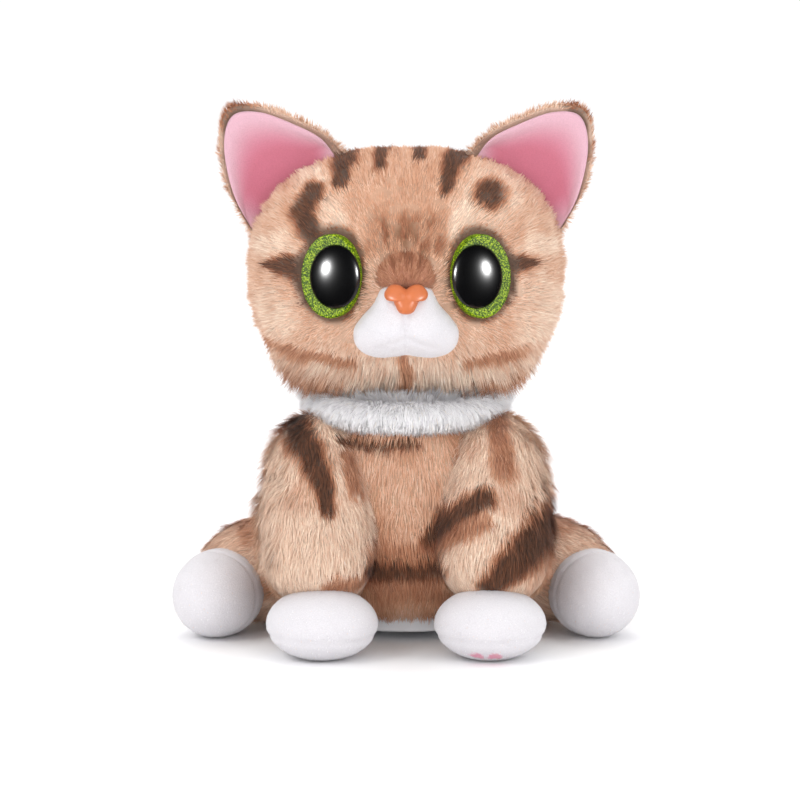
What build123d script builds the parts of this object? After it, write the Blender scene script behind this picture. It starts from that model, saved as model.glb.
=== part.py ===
"""Sitting plush kitten with a sound and purr module, one STEP file per piece.

Millimetres, +Z up. The kitten looks towards -Y and sits on the plane Z = 0.
Its own right side is at -X and its own left side at +X.
"""

import os
from math import cos, radians, sin, sqrt

from build123d import *

# ---------------------------------------------------------------- driving dimensions
COVER = 1.8  # thickness of the plush fabric
FIT = 0.2  # room between soft pieces that are sewn together
SWIVEL_GAP = 0.5  # room between the head and whatever it turns over

HEAD_Y, HEAD_Z = -4.0, 159.0
HEAD_HALF_WIDTH, HEAD_RADIUS = 67.0, 53.5

EYE_X, EYE_Z = 32.3, 164.2
IRIS_HALF_WIDTH, IRIS_HALF_HEIGHT = 13.4, 18.0
PUPIL_HALF_WIDTH, PUPIL_HALF_HEIGHT, PUPIL_BULGE = 11.2, 13.6, 5.5
PUPIL_INSET = 2.0  # the pupil sits this much nearer the nose than the iris
EYE_SEAT, EYE_FRONT = -3.2, 1.0  # back and front of the iris plate, from the head's skin
EYE_POST_RADIUS, EYE_POST_LENGTH = 2.5, 12.0
WASHER_RADIUS, WASHER_THICKNESS, WASHER_DEPTH = 9.0, 1.6, -6.0

MUZZLE_Y, MUZZLE_Z = -57.0, 143.8
MUZZLE_HALF_WIDTH, MUZZLE_RADIUS = 22.6, 13.4
NOSE_Z, NOSE_HALF_WIDTH, NOSE_HALF_HEIGHT = 158.7, 9.0, 5.8
NOSE_BACK_Y, NOSE_FRONT_Y = -64.0, -73.0

RUFF_RADIUS, RUFF_Z, RUFF_THICKNESS = 38.5, 101.0, 7.8
RUFF_SEAM = 33.0  # degrees round the neck from +X

BASE_Y, TORSO_BOTTOM = 16.0, 10.7
TORSO_SECTIONS = [  # height, centre y, radius
    (TORSO_BOTTOM, 16.0, 41.0),
    (22.0, 16.0, 56.0),
    (40.0, 14.0, 61.0),
    (60.0, 9.0, 57.0),
    (82.0, 2.0, 47.5),
    (97.0, -3.0, 38.0),
    (112.0, HEAD_Y, 32.0),
]

LEG_TOP = (37.5, -13.0, 97.0)
LEG_BOTTOM = (37.5, -57.0, 19.0)
LEG_PROFILE = [  # distance down the leg, radius
    (0.0, 0.0),
    (4.0, 13.0),
    (16.0, 20.5),
    (38.0, 24.6),
    (62.0, 24.8),
    (80.0, 22.0),
    (89.0, 0.0),
]
PAW_X, PAW_Y, PAW_Z, PAW_RADIUS, PAW_HALF_HEIGHT = 36.0, -60.0, 14.9, 24.0, 15.6

HAUNCH_CENTRE, HAUNCH_HALF_LENGTH, HAUNCH_RADIUS = (55.0, 21.0, 24.6), 42.0, 24.0
HAUNCH_TURN = -37.0  # degrees from +X, towards the foot
FOOT_CENTRE, FOOT_HALF_LENGTH, FOOT_RADIUS = (81.0, -8.0, 18.4), 27.0, 19.0
FOOT_TURN = -72.0  # degrees from +X

TAIL_RADIUS, TAIL_Z = 8.0, 8.7
TAIL_PIVOT, TAIL_MIDDLE, TAIL_TIP = (-4.0, 73.5), (36.0, 76.0), (78.0, 62.0)

TRAY_RADIUS, TRAY_BOTTOM, TRAY_TOP, TRAY_FLOOR = 40.0, 4.0, 10.5, 3.0
TRAY_WALL, RUBBER_FOOT_RADIUS, RUBBER_FOOT_SPOT = 2.4, 3.5, (31.0, 14.0)
DOOR_HALF_LENGTH, DOOR_FRONT, DOOR_HINGE = 26.0, -18.0, 16.5  # y counted from the base's centre
DOOR_GAP, TAB_HALF_WIDTH, TAB_LENGTH = 0.3, 6.0, 7.0
HINGE_PIN_RADIUS, HINGE_BORE_RADIUS, HINGE_PIN_REACH = 0.90, 0.95, 2.0
BATTERY_RADIUS, BATTERY_LENGTH, BATTERY_PITCH = 5.25, 44.5, 10.8  # size AAA
BAY_HALF_LENGTH, BAY_HALF_WIDTH, BAY_TOP, BAY_WALL = 25.0, 16.4, 18.6, 1.5

CAN_RADIUS, CAN_TOP, CAN_WALL = 36.0, 46.0, 2.0
BOSS_SPOTS = [(0.0, 31.0), (22.0, -22.4), (-22.0, -22.4)]  # from the base's centre
BOSS_RADIUS, SCREW_RADIUS, SCREW_HEAD_RADIUS = 3.2, 1.2, 2.2

BOARD_Z, BOARD_RADIUS, BOARD_THICKNESS = 21.6, 31.5, 1.6
SPEAKER_Y, SPEAKER_RADIUS, SPEAKER_TOP, SPEAKER_BOTTOM = 6.0, 18.0, 43.4, 26.0
MOTOR_Y, MOTOR_Z, MOTOR_RADIUS, MOTOR_HALF_LENGTH = 37.0, 31.0, 5.0, 8.0
SHAFT_RADIUS, SHAFT_BORE = 0.75, 0.80

SWITCH_X, SWITCH_Y = 0.0, -13.0
SLIDER_TRAVEL = 4.0

BUTTON_RADIUS, BUTTON_BORE, BUTTON_TRAVEL = 5.5, 5.56, 1.5
BUTTON_CASE_RADIUS, BUTTON_CASE_LENGTH, BUTTON_THICKNESS = 8.0, 13.0, 4.0
SPRING_RADIUS, SPRING_WIRE, SPRING_TURNS = 3.4, 0.35, 4
WIRE_RADIUS, WIRE_ROOM = 1.3, 2.4  # one wire pair, and the room cut round it
BODY_WIRE_RADIUS, BODY_WIRE_ROOM, BODY_WIRE_BEND = 1.24, 3.8, 9.0
CUT_CLEAR = 1.0  # how far a cutting shape runs past the face that it opens

SIDES = {"right": -1, "left": 1}  # the kitten's own right and left


# ---------------------------------------------------------------- shared shapes
def ellipsoid(plane, half_x, half_y, half_z):
    """Return an ellipsoid whose half sizes lie along the plane's own axes."""
    with BuildPart() as body:
        Sphere(1)
        scale(by=(half_x, half_y, half_z))
    return plane.location * body.part


def lathe(plane, profile):
    """Return a solid of revolution about the plane's X axis through (distance, radius) points."""
    with BuildPart() as body:
        with BuildSketch(plane):
            with BuildLine():
                Spline(*profile)
                Line(profile[-1], profile[0])
            make_face()
        revolve(axis=Axis(plane.origin, plane.x_dir))
    return body.part


def torso_shape(shrink):
    """Return the pear-shaped torso, made smaller all round by shrink."""
    with BuildPart() as body:
        for height, centre_y, radius in TORSO_SECTIONS:
            lift = shrink if height == TORSO_BOTTOM else 0
            with BuildSketch(Plane(origin=(0, centre_y, height + lift), x_dir=(0, 1, 0))):
                Circle(radius - shrink)
        loft()
    return body.part


def head_shape(grow=0.0):
    """Return the head's ellipsoid, which is widest along X."""
    plane = Plane(origin=(0, HEAD_Y, HEAD_Z), x_dir=(0, 1, 0))
    return ellipsoid(plane, HEAD_RADIUS + grow, HEAD_HALF_WIDTH + grow, HEAD_RADIUS + grow)


def head_sweep(grow):
    """Return all the space that the head passes through as it turns about its upright axis."""
    plane = Plane(origin=(0, HEAD_Y, HEAD_Z), x_dir=(0, 1, 0))
    reach = HEAD_HALF_WIDTH + grow
    return ellipsoid(plane, reach, reach, HEAD_RADIUS + grow)


def eye_plane(side):
    """Return the plane that touches the head under an eye, with Z pointing out of the face."""
    x, dz = side * EYE_X, EYE_Z - HEAD_Z
    dy = -sqrt(HEAD_RADIUS**2 * (1 - (x / HEAD_HALF_WIDTH) ** 2) - dz**2)
    normal = Vector(x / HEAD_HALF_WIDTH**2, dy / HEAD_RADIUS**2, dz / HEAD_RADIUS**2).normalized()
    across = Vector(0, 0, 1).cross(normal).normalized()
    return Plane(origin=(x, HEAD_Y + dy, EYE_Z), x_dir=across, z_dir=normal)


def coil_spring(plane, length, radius, turns):
    """Return an open coil spring that starts at the plane and runs along its Z axis."""
    with BuildPart() as spring:
        with BuildLine():
            wire = Helix(pitch=length / turns, height=length, radius=radius)
        with BuildSketch(Plane(origin=wire @ 0, z_dir=wire % 0)):
            Circle(SPRING_WIRE)
        sweep(is_frenet=True)
    return plane.location * spring.part


def tube(points, bend, radius):
    """Return a round tube along straight runs joined by arcs."""
    with BuildPart() as body:
        with BuildLine():
            route = FilletPolyline(*points, radius=bend) if len(points) > 2 else Line(*points)
        with BuildSketch(Plane(origin=route @ 0, z_dir=route % 0)):
            Circle(radius)
        sweep()
    return body.part


def save(part, name):
    """Label a finished piece and write its STEP file."""
    part.label = name
    export_step(part, f"parts/{name}.step")


os.makedirs("parts", exist_ok=True)

# ---------------------------------------------------------------- shapes that several pieces share
head_outer = head_shape()
head_inner = head_shape(-COVER)
head_fill = head_shape(-COVER - FIT)
head_seat = head_sweep(SWIVEL_GAP)
torso_outer = torso_shape(0)
torso_inner = torso_shape(COVER)
torso_fill = torso_shape(COVER + FIT)
torso_keep_out = torso_shape(-FIT)
neck_top = HEAD_Z - HEAD_RADIUS

# ---------------------------------------------------------------- eyes
EYE_POCKET = EYE_SEAT - 0.4  # floor of the room cut for the iris plate
EYE_POCKET_FRONT = 10.0  # far enough out to open the fabric all the way
IRIS_EDGE, PRESS_FIT = 0.8, 0.02
for side_name, side in SIDES.items():
    seat = eye_plane(side)
    post_back = EYE_SEAT - EYE_POST_LENGTH

    with BuildPart() as iris:
        with BuildSketch(seat.offset(EYE_SEAT)):
            Ellipse(IRIS_HALF_WIDTH, IRIS_HALF_HEIGHT)
        extrude(amount=EYE_FRONT - EYE_SEAT)
        fillet(iris.faces().sort_by(Axis(seat.origin, seat.z_dir))[-1].edges(), IRIS_EDGE)
        with BuildSketch(seat.offset(post_back)):
            Circle(EYE_POST_RADIUS)
        extrude(amount=EYE_POST_LENGTH)
    save(iris.part, f"eye_{side_name}_iris")

    with BuildPart() as dome:
        Sphere(1)
        scale(by=(PUPIL_HALF_WIDTH, PUPIL_HALF_HEIGHT, PUPIL_BULGE))
        split(bisect_by=Plane.XY, keep=Keep.TOP)
    dome_seat = seat.offset(EYE_FRONT)
    dome_centre = dome_seat.from_local_coords((-side * PUPIL_INSET, 0, 0))
    save(dome_seat.shift_origin(dome_centre).location * dome.part, f"eye_{side_name}_pupil")

    with BuildPart() as washer:
        with BuildSketch(seat.offset(WASHER_DEPTH - WASHER_THICKNESS)):
            Circle(WASHER_RADIUS)
            Circle(EYE_POST_RADIUS + PRESS_FIT, mode=Mode.SUBTRACT)
        extrude(amount=WASHER_THICKNESS)
    save(washer.part, f"eye_{side_name}_washer")


def eye_pocket(side):
    """Return the room that one eye, its post and its washer take up in the head."""
    seat = eye_plane(side)
    with BuildPart() as pocket:
        with BuildSketch(seat.offset(EYE_POCKET)):
            Ellipse(IRIS_HALF_WIDTH + FIT, IRIS_HALF_HEIGHT + FIT)
        extrude(amount=EYE_POCKET_FRONT - EYE_POCKET)
        with BuildSketch(seat.offset(EYE_SEAT - EYE_POST_LENGTH - CUT_CLEAR)):
            Circle(WASHER_RADIUS + FIT)
        extrude(amount=EYE_POST_LENGTH + CUT_CLEAR)
    return pocket.part


eye_pockets = [eye_pocket(side) for side in SIDES.values()]

# ---------------------------------------------------------------- the two touch switches in the head
MOUTH_BUTTON_DEPTH, PAT_BUTTON_DEPTH = 1.6, 1.2  # below the inside of the fabric
inside_radius = HEAD_RADIUS - COVER
mouth_reach = sqrt(inside_radius**2 - (MUZZLE_Z - HEAD_Z) ** 2 - BUTTON_RADIUS**2)
mouth_face = HEAD_Y - mouth_reach + MOUTH_BUTTON_DEPTH
mouth_plane = Plane(origin=(0, mouth_face, MUZZLE_Z), x_dir=(1, 0, 0), z_dir=(0, 1, 0))
pat_face = HEAD_Z + inside_radius - PAT_BUTTON_DEPTH
pat_plane = Plane(origin=(0, HEAD_Y, pat_face), x_dir=(1, 0, 0), z_dir=(0, 0, -1))
CASE_SETBACK = 2.2  # the case's rim is this far behind the button's face
SPRING_ROOM, BUTTON_EDGE, CASE_FLOOR = 0.1, 1.0, 2.5
case_floor = CASE_SETBACK + BUTTON_CASE_LENGTH - CASE_FLOOR

for switch_name, front in {"mouth": mouth_plane, "pat": pat_plane}.items():
    with BuildPart() as button:
        with BuildSketch(front):
            Circle(BUTTON_RADIUS)
        extrude(amount=BUTTON_THICKNESS)
        fillet(button.faces().sort_by(Axis(front.origin, front.z_dir))[0].edges(), BUTTON_EDGE)
    save(button.part, f"{switch_name}_switch_button")

    with BuildPart() as case:
        with BuildSketch(front.offset(CASE_SETBACK)):
            Circle(BUTTON_CASE_RADIUS)
        extrude(amount=BUTTON_CASE_LENGTH)
        with BuildSketch(front.offset(CASE_SETBACK)):
            Circle(BUTTON_BORE)
        extrude(amount=case_floor - CASE_SETBACK, mode=Mode.SUBTRACT)
    save(case.part, f"{switch_name}_switch_case")

    spring_start = front.offset(BUTTON_THICKNESS + SPRING_WIRE + SPRING_ROOM)
    spring_length = case_floor - BUTTON_THICKNESS - 2 * (SPRING_WIRE + SPRING_ROOM)
    spring = coil_spring(spring_start, spring_length, SPRING_RADIUS, SPRING_TURNS)
    save(spring, f"{switch_name}_switch_spring")

# ---------------------------------------------------------------- head
case_back = CASE_SETBACK + BUTTON_CASE_LENGTH
mouth_case_y = mouth_face + case_back
pat_case_z = pat_face - case_back
WIRE_SPACING, WIRE_BEND = 3.0, 7.0
NECK_CUT_DEPTH, SOFT_CUT = 10.0, 12.0  # lengths of the cuts that open the head towards neck and switches
WIRE_END_GAP, NECK_WIRE_GAP = 0.1, 1.5

with BuildPart() as head_cover:
    add(head_outer)
    add(head_inner, mode=Mode.SUBTRACT)
    for pocket in eye_pockets:
        add(pocket, mode=Mode.SUBTRACT)
    with BuildSketch(Plane(origin=(0, HEAD_Y, neck_top - CUT_CLEAR))):
        Circle(WIRE_SPACING + WIRE_ROOM)
    extrude(amount=NECK_CUT_DEPTH, mode=Mode.SUBTRACT)
save(head_cover.part, "head_cover")

with BuildPart() as head_stuffing:
    add(head_fill)
    for pocket in eye_pockets:
        add(pocket, mode=Mode.SUBTRACT)
    with BuildSketch(Plane(origin=(0, HEAD_Y, neck_top - CUT_CLEAR))):
        Circle(WIRE_SPACING + WIRE_ROOM)
    extrude(amount=pat_case_z - neck_top + 2 * CUT_CLEAR, mode=Mode.SUBTRACT)
    for switch_face in (pat_plane, mouth_plane):
        with BuildSketch(switch_face.offset(-SOFT_CUT)):
            Circle(BUTTON_CASE_RADIUS + FIT)
        extrude(amount=case_back + SOFT_CUT + FIT, mode=Mode.SUBTRACT)
    with BuildSketch(mouth_plane):
        Circle(WIRE_SPACING + WIRE_ROOM)
    extrude(amount=HEAD_Y - mouth_face, mode=Mode.SUBTRACT)
save(head_stuffing.part, "head_stuffing")

mouth_wire_route = [
    (-WIRE_SPACING, mouth_case_y + WIRE_END_GAP, MUZZLE_Z),
    (-WIRE_SPACING, HEAD_Y, MUZZLE_Z),
    (-WIRE_SPACING, HEAD_Y, neck_top + NECK_WIRE_GAP),
]
pat_wire_route = [
    (WIRE_SPACING, HEAD_Y, pat_case_z - WIRE_END_GAP),
    (WIRE_SPACING, HEAD_Y, neck_top + NECK_WIRE_GAP),
]
save(tube(mouth_wire_route, WIRE_BEND, WIRE_RADIUS), "mouth_switch_wires")
save(tube(pat_wire_route, 0, WIRE_RADIUS), "pat_switch_wires")

# ---------------------------------------------------------------- ears
EAR_BACK_Y, EAR_THICKNESS, LINING_THICKNESS = 3.0, 6.0, 2.0
LAYER_GAP = 0.05  # between an ear's back and its lining
EAR_OUTLINE = [
    (27.0, 203.0),
    (46.0, 220.5),
    (66.0, 230.6),
    (78.5, 229.0),
    (80.5, 216.0),
    (76.0, 194.0),
    (60.0, 164.0),
]
LINING_OUTLINE = [
    (33.0, 202.0),
    (48.0, 216.5),
    (66.0, 226.2),
    (75.0, 224.0),
    (76.5, 213.0),
    (72.0, 193.0),
    (58.0, 168.0),
]


def ear_blank(outline, side, front_y, thickness):
    """Return a flat ear layer whose outline is given as (x, z) points, cut to sit on the head."""
    with BuildPart() as layer:
        with BuildSketch(Plane(origin=(0, front_y, 0), x_dir=(1, 0, 0), z_dir=(0, -1, 0))):
            with BuildLine():
                Spline(*[(side * x, z) for x, z in outline])
                Line((side * outline[-1][0], outline[-1][1]), (side * outline[0][0], outline[0][1]))
            make_face()
        extrude(amount=-thickness)
        add(head_shape(FIT), mode=Mode.SUBTRACT)
    return layer.part


for side_name, side in SIDES.items():
    ear_front = EAR_BACK_Y - EAR_THICKNESS
    save(ear_blank(EAR_OUTLINE, side, ear_front, EAR_THICKNESS), f"ear_{side_name}_back")
    lining_front = ear_front - LINING_THICKNESS - LAYER_GAP
    save(ear_blank(LINING_OUTLINE, side, lining_front, LINING_THICKNESS), f"ear_{side_name}_lining")

# ---------------------------------------------------------------- muzzle, nose and nose bridge
muzzle_plane = Plane(origin=(0, MUZZLE_Y, MUZZLE_Z))
UPPER_MUZZLE_Y, UPPER_MUZZLE_Z, UPPER_MUZZLE_SIZE = -57.5, 150.2, (13.6, 12.6, 14.0)

with BuildPart() as muzzle:
    add(ellipsoid(muzzle_plane, MUZZLE_HALF_WIDTH, MUZZLE_RADIUS, MUZZLE_RADIUS))
    add(ellipsoid(Plane(origin=(0, UPPER_MUZZLE_Y, UPPER_MUZZLE_Z)), *UPPER_MUZZLE_SIZE))
    add(head_shape(FIT), mode=Mode.SUBTRACT)
save(muzzle.part, "muzzle_pad")

NOSE_NOTCH, NOSE_EDGE = 1.2, 1.6
NOSE_LOBES = [(0.55, 1.0), (1.0, 0.3), (0.4, -0.8)]  # shares of the nose's half width and half height
with BuildPart() as nose:
    with BuildSketch(Plane(origin=(0, NOSE_BACK_Y, NOSE_Z), x_dir=(1, 0, 0), z_dir=(0, -1, 0))):
        with BuildLine():
            Spline(
                (0, NOSE_HALF_HEIGHT - NOSE_NOTCH),
                *[(across * NOSE_HALF_WIDTH, up * NOSE_HALF_HEIGHT) for across, up in NOSE_LOBES],
                (0, -NOSE_HALF_HEIGHT),
            )
            mirror(about=Plane.YZ)
        make_face()
    extrude(amount=NOSE_BACK_Y - NOSE_FRONT_Y)
    fillet(nose.faces().sort_by(Axis.Y)[0].edges(), NOSE_EDGE)
    add(muzzle.part, mode=Mode.SUBTRACT)
    add(head_shape(FIT), mode=Mode.SUBTRACT)
nose_body = nose.part.solids().sort_by(SortBy.VOLUME)[-1]
save(Part(nose_body.wrapped), "nose")

BRIDGE_BOTTOM, BRIDGE_TOP, BRIDGE_HALF_WIDTH, BRIDGE_THICKNESS = 163.6, 176.0, 11.5, 1.6
with BuildPart() as bridge:
    with BuildSketch(Plane(origin=(0, HEAD_Y, 0), x_dir=(1, 0, 0), z_dir=(0, -1, 0))):
        Polygon(
            (-BRIDGE_HALF_WIDTH, BRIDGE_BOTTOM),
            (BRIDGE_HALF_WIDTH, BRIDGE_BOTTOM),
            (0, BRIDGE_TOP),
            align=None,
        )
    extrude(amount=2 * HEAD_RADIUS)
    add(head_shape(BRIDGE_THICKNESS), mode=Mode.INTERSECT)
    add(head_shape(FIT), mode=Mode.SUBTRACT)
    add(muzzle.part, mode=Mode.SUBTRACT)
    add(nose.part, mode=Mode.SUBTRACT)
save(bridge.part, "nose_bridge_panel")

# ---------------------------------------------------------------- base tray, battery door and module can
tray_plane = Plane(origin=(0, BASE_Y, TRAY_BOTTOM))
floor_top = TRAY_BOTTOM + TRAY_FLOOR
hinge_y = BASE_Y + DOOR_HINGE
hinge_z = TRAY_BOTTOM + TRAY_FLOOR / 2
door_depth = DOOR_HINGE - DOOR_FRONT
door_middle = (DOOR_HINGE + DOOR_FRONT) / 2
tab_middle = DOOR_FRONT - TAB_LENGTH / 2
floor_plane = Plane(origin=(0, BASE_Y, floor_top))
hinge_plane = Plane(origin=(0, hinge_y, hinge_z), x_dir=(0, 1, 0), z_dir=(1, 0, 0))
TRAY_EDGE, SCREW_RIB, BOSS_HEIGHT = 1.5, (4.0, 3.6), 5.0
SCREW_CLEAR, HEAD_CLEAR, HEAD_SINK = 0.2, 0.2, 1.5  # round a screw, round its head, and how deep that sits
SLIDER_SLOT = (SLIDER_TRAVEL + 5.6, 4.0)


def door_outline(grow):
    """Draw the battery door's outline about the base's centre, made larger all round by grow."""
    with Locations((0, door_middle)):
        Rectangle(2 * (DOOR_HALF_LENGTH + grow), door_depth + 2 * grow)
    with Locations((0, tab_middle)):
        Rectangle(2 * (TAB_HALF_WIDTH + grow), TAB_LENGTH + 2 * grow)


with BuildPart() as base_tray:
    with BuildSketch(tray_plane):
        Circle(TRAY_RADIUS)
    extrude(amount=TRAY_TOP - TRAY_BOTTOM)
    fillet(base_tray.faces().sort_by(Axis.Z)[0].edges(), TRAY_EDGE)
    with BuildSketch(floor_plane):
        Circle(TRAY_RADIUS - TRAY_WALL)
    extrude(amount=TRAY_TOP, mode=Mode.SUBTRACT)
    with BuildSketch(floor_plane):
        Rectangle(2 * (BAY_HALF_LENGTH + BAY_WALL), 2 * (BAY_HALF_WIDTH + BAY_WALL))
    extrude(amount=BAY_TOP + BAY_WALL - floor_top)
    with BuildSketch(tray_plane):
        Rectangle(2 * BAY_HALF_LENGTH, 2 * BAY_HALF_WIDTH)
    extrude(amount=BAY_TOP - TRAY_BOTTOM, mode=Mode.SUBTRACT)
    with BuildSketch(floor_plane):
        with Locations((0, tab_middle)):
            Circle(BOSS_RADIUS)
        with Locations((0, -(BAY_HALF_WIDTH + BAY_WALL + SCREW_RIB[1] / 2 - DOOR_GAP))):
            Rectangle(*SCREW_RIB)
    extrude(amount=BOSS_HEIGHT)
    with BuildSketch(tray_plane):
        door_outline(DOOR_GAP)
        with Locations((0, DOOR_HINGE)):
            Rectangle(2 * (DOOR_HALF_LENGTH + DOOR_GAP), 2 * (TRAY_FLOOR / 2 + DOOR_GAP))
    extrude(amount=TRAY_FLOOR + DOOR_GAP, mode=Mode.SUBTRACT)
    with BuildSketch(tray_plane):
        with Locations((0, tab_middle)):
            Circle(SCREW_RADIUS + SCREW_CLEAR)
    extrude(amount=TRAY_FLOOR + BOSS_HEIGHT - CUT_CLEAR, mode=Mode.SUBTRACT)
    with BuildSketch(hinge_plane):
        Circle(HINGE_BORE_RADIUS)
    extrude(amount=DOOR_HALF_LENGTH + HINGE_PIN_REACH + DOOR_GAP, both=True, mode=Mode.SUBTRACT)
    with BuildSketch(Plane.XY.offset(TRAY_BOTTOM)):
        with Locations((SWITCH_X, SWITCH_Y)):
            Rectangle(*SLIDER_SLOT)
    extrude(amount=TRAY_FLOOR, mode=Mode.SUBTRACT)
    with BuildSketch(tray_plane):
        with Locations(*BOSS_SPOTS):
            Circle(SCREW_RADIUS + SCREW_CLEAR)
    extrude(amount=TRAY_FLOOR, mode=Mode.SUBTRACT)
    with BuildSketch(tray_plane):
        with Locations(*BOSS_SPOTS):
            Circle(SCREW_HEAD_RADIUS + HEAD_CLEAR)
    extrude(amount=HEAD_SINK, mode=Mode.SUBTRACT)
save(base_tray.part, "base_tray")

RUBBER_EDGE = 0.6
with BuildPart() as rubber_feet:
    with BuildSketch(Plane(origin=(0, BASE_Y, 0))):
        with GridLocations(2 * RUBBER_FOOT_SPOT[0], 2 * RUBBER_FOOT_SPOT[1], 2, 2):
            Circle(RUBBER_FOOT_RADIUS)
    extrude(amount=TRAY_BOTTOM)
    chamfer(rubber_feet.faces().filter_by(Axis.Z).group_by(Axis.Z)[0].edges(), RUBBER_EDGE)
save(rubber_feet.part, "rubber_feet")

GRIP_LINES, GRIP_SIZE, GRIP_DEPTH = (-6, -9, -12), (14.0, 1.2), 0.5
with BuildPart() as battery_door:
    with BuildSketch(tray_plane):
        door_outline(0)
    extrude(amount=TRAY_FLOOR)
    with BuildSketch(hinge_plane):
        Circle(TRAY_FLOOR / 2)
    extrude(amount=DOOR_HALF_LENGTH, both=True)
    with BuildSketch(hinge_plane):
        Circle(HINGE_PIN_RADIUS)
    extrude(amount=DOOR_HALF_LENGTH + HINGE_PIN_REACH, both=True)
    with Locations((0, BASE_Y + tab_middle, TRAY_BOTTOM)):
        with Locations(Rotation(180, 0, 0)):
            CounterBoreHole(SCREW_RADIUS + 0.05, SCREW_HEAD_RADIUS + 0.1, HEAD_SINK, 2 * TRAY_FLOOR)
    for groove_y in GRIP_LINES:
        with BuildSketch(tray_plane):
            with Locations((0, groove_y)):
                SlotOverall(*GRIP_SIZE)
        extrude(amount=GRIP_DEPTH, mode=Mode.SUBTRACT)
save(battery_door.part, "battery_door")


SCREW_HEAD_HEIGHT, CROSS_LENGTH, CROSS_WIDTH, CROSS_DEPTH = 1.4, 2.4, 0.6, 0.8
DOOR_SCREW_LENGTH, CASE_SCREW_LENGTH, HEAD_LEVEL = 5.5, 12.0, TRAY_BOTTOM + 0.1


def screw(spot_x, spot_y, length):
    """Return a pan-head screw with a cross recess, head down in the base."""
    head_plane = Plane(origin=(spot_x, BASE_Y + spot_y, HEAD_LEVEL))
    with BuildPart() as body:
        with BuildSketch(head_plane):
            Circle(SCREW_HEAD_RADIUS)
        extrude(amount=SCREW_HEAD_HEIGHT)
        with BuildSketch(head_plane):
            Circle(SCREW_RADIUS)
        extrude(amount=length)
        with BuildSketch(head_plane):
            Rectangle(CROSS_LENGTH, CROSS_WIDTH)
            Rectangle(CROSS_WIDTH, CROSS_LENGTH)
        extrude(amount=CROSS_DEPTH, mode=Mode.SUBTRACT)
    return body.part


save(screw(0, tab_middle, DOOR_SCREW_LENGTH), "battery_door_screw")

with BuildPart() as case_screws:
    for spot in BOSS_SPOTS:
        add(screw(*spot, CASE_SCREW_LENGTH))
save(case_screws.part, "case_screws")

SOUND_HOLE_RADIUS, WIRE_HOLE_Y, WIRE_HOLE_RADIUS = 1.2, 36.0, 3.0
SOUND_RINGS = [(5.0, 6), (10.0, 12)]  # radius of a ring of sound holes and how many it has
CAN_EDGE, STACK_GAP, BOARD_GAP = 3.0, 0.05, 0.3
can_plane = floor_plane.offset(STACK_GAP)
can_height = CAN_TOP - floor_top - STACK_GAP
with BuildPart() as module_cover:
    with BuildSketch(can_plane):
        Circle(CAN_RADIUS)
    extrude(amount=can_height)
    fillet(module_cover.faces().sort_by(Axis.Z)[-1].edges(), CAN_EDGE)
    with BuildSketch(can_plane):
        Circle(CAN_RADIUS - CAN_WALL)
    extrude(amount=can_height - CAN_WALL, mode=Mode.SUBTRACT)
    with BuildSketch(can_plane):
        with Locations(*BOSS_SPOTS):
            Circle(BOSS_RADIUS)
    extrude(amount=BOARD_Z - floor_top - STACK_GAP - BOARD_GAP)
    with BuildSketch(can_plane):
        with Locations(*BOSS_SPOTS):
            Circle(SCREW_RADIUS + PRESS_FIT)
    extrude(amount=CASE_SCREW_LENGTH - HEAD_SINK, mode=Mode.SUBTRACT)
    with BuildSketch(Plane(origin=(0, SPEAKER_Y, CAN_TOP - CAN_WALL))):
        Circle(SOUND_HOLE_RADIUS)
        for ring_radius, hole_count in SOUND_RINGS:
            with PolarLocations(ring_radius, hole_count):
                Circle(SOUND_HOLE_RADIUS)
    extrude(amount=CAN_WALL, mode=Mode.SUBTRACT)
    with BuildSketch(Plane(origin=(0, WIRE_HOLE_Y, CAN_TOP - CAN_WALL))):
        Circle(WIRE_HOLE_RADIUS)
    extrude(amount=CAN_WALL, mode=Mode.SUBTRACT)
save(module_cover.part, "module_cover")

# ---------------------------------------------------------------- batteries and contacts
CELL_GAP, CELL_BUTTON_RADIUS = 0.4, 1.9
CELL_BODY = 43.5  # length of a cell without its button
battery_z = floor_top + CELL_GAP + BATTERY_RADIUS
battery_places = [BASE_Y + step * BATTERY_PITCH for step in (-1, 0, 1)]

with BuildPart() as batteries:
    for step, place_y in enumerate(battery_places):
        towards = 1 if step % 2 == 0 else -1
        start = Plane(origin=(-towards * BATTERY_LENGTH / 2, place_y, battery_z), z_dir=(towards, 0, 0))
        with BuildSketch(start):
            Circle(BATTERY_RADIUS)
        extrude(amount=CELL_BODY)
        with BuildSketch(start.offset(CELL_BODY)):
            Circle(CELL_BUTTON_RADIUS)
        extrude(amount=BATTERY_LENGTH - CELL_BODY)
save(batteries.part, "batteries")

CONTACT_THICKNESS, CONTACT_SPRING_RADIUS, CONTACT_ROOM = 0.4, 2.6, 0.45
CONTACT_WIDTH, CONTACT_HEIGHT, CONTACT_TURNS = 8.5, 9.0, 1.5
plate_face = BAY_HALF_LENGTH - 0.1 - CONTACT_THICKNESS
contact_spring_length = plate_face - BATTERY_LENGTH / 2 - 2 * CONTACT_ROOM
with BuildPart() as contacts:
    for step, place_y in enumerate(battery_places):
        for end in (-1, 1):
            with Locations((end * (plate_face + CONTACT_THICKNESS / 2), place_y, battery_z)):
                Box(CONTACT_THICKNESS, CONTACT_WIDTH, CONTACT_HEIGHT)
        flat_end = -1 if step % 2 == 0 else 1
        start = (flat_end * (plate_face - CONTACT_ROOM), place_y, battery_z)
        coil_plane = Plane(origin=start, z_dir=(-flat_end, 0, 0))
        add(coil_spring(coil_plane, contact_spring_length, CONTACT_SPRING_RADIUS, CONTACT_TURNS))
save(contacts.part, "battery_contacts")

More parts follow.
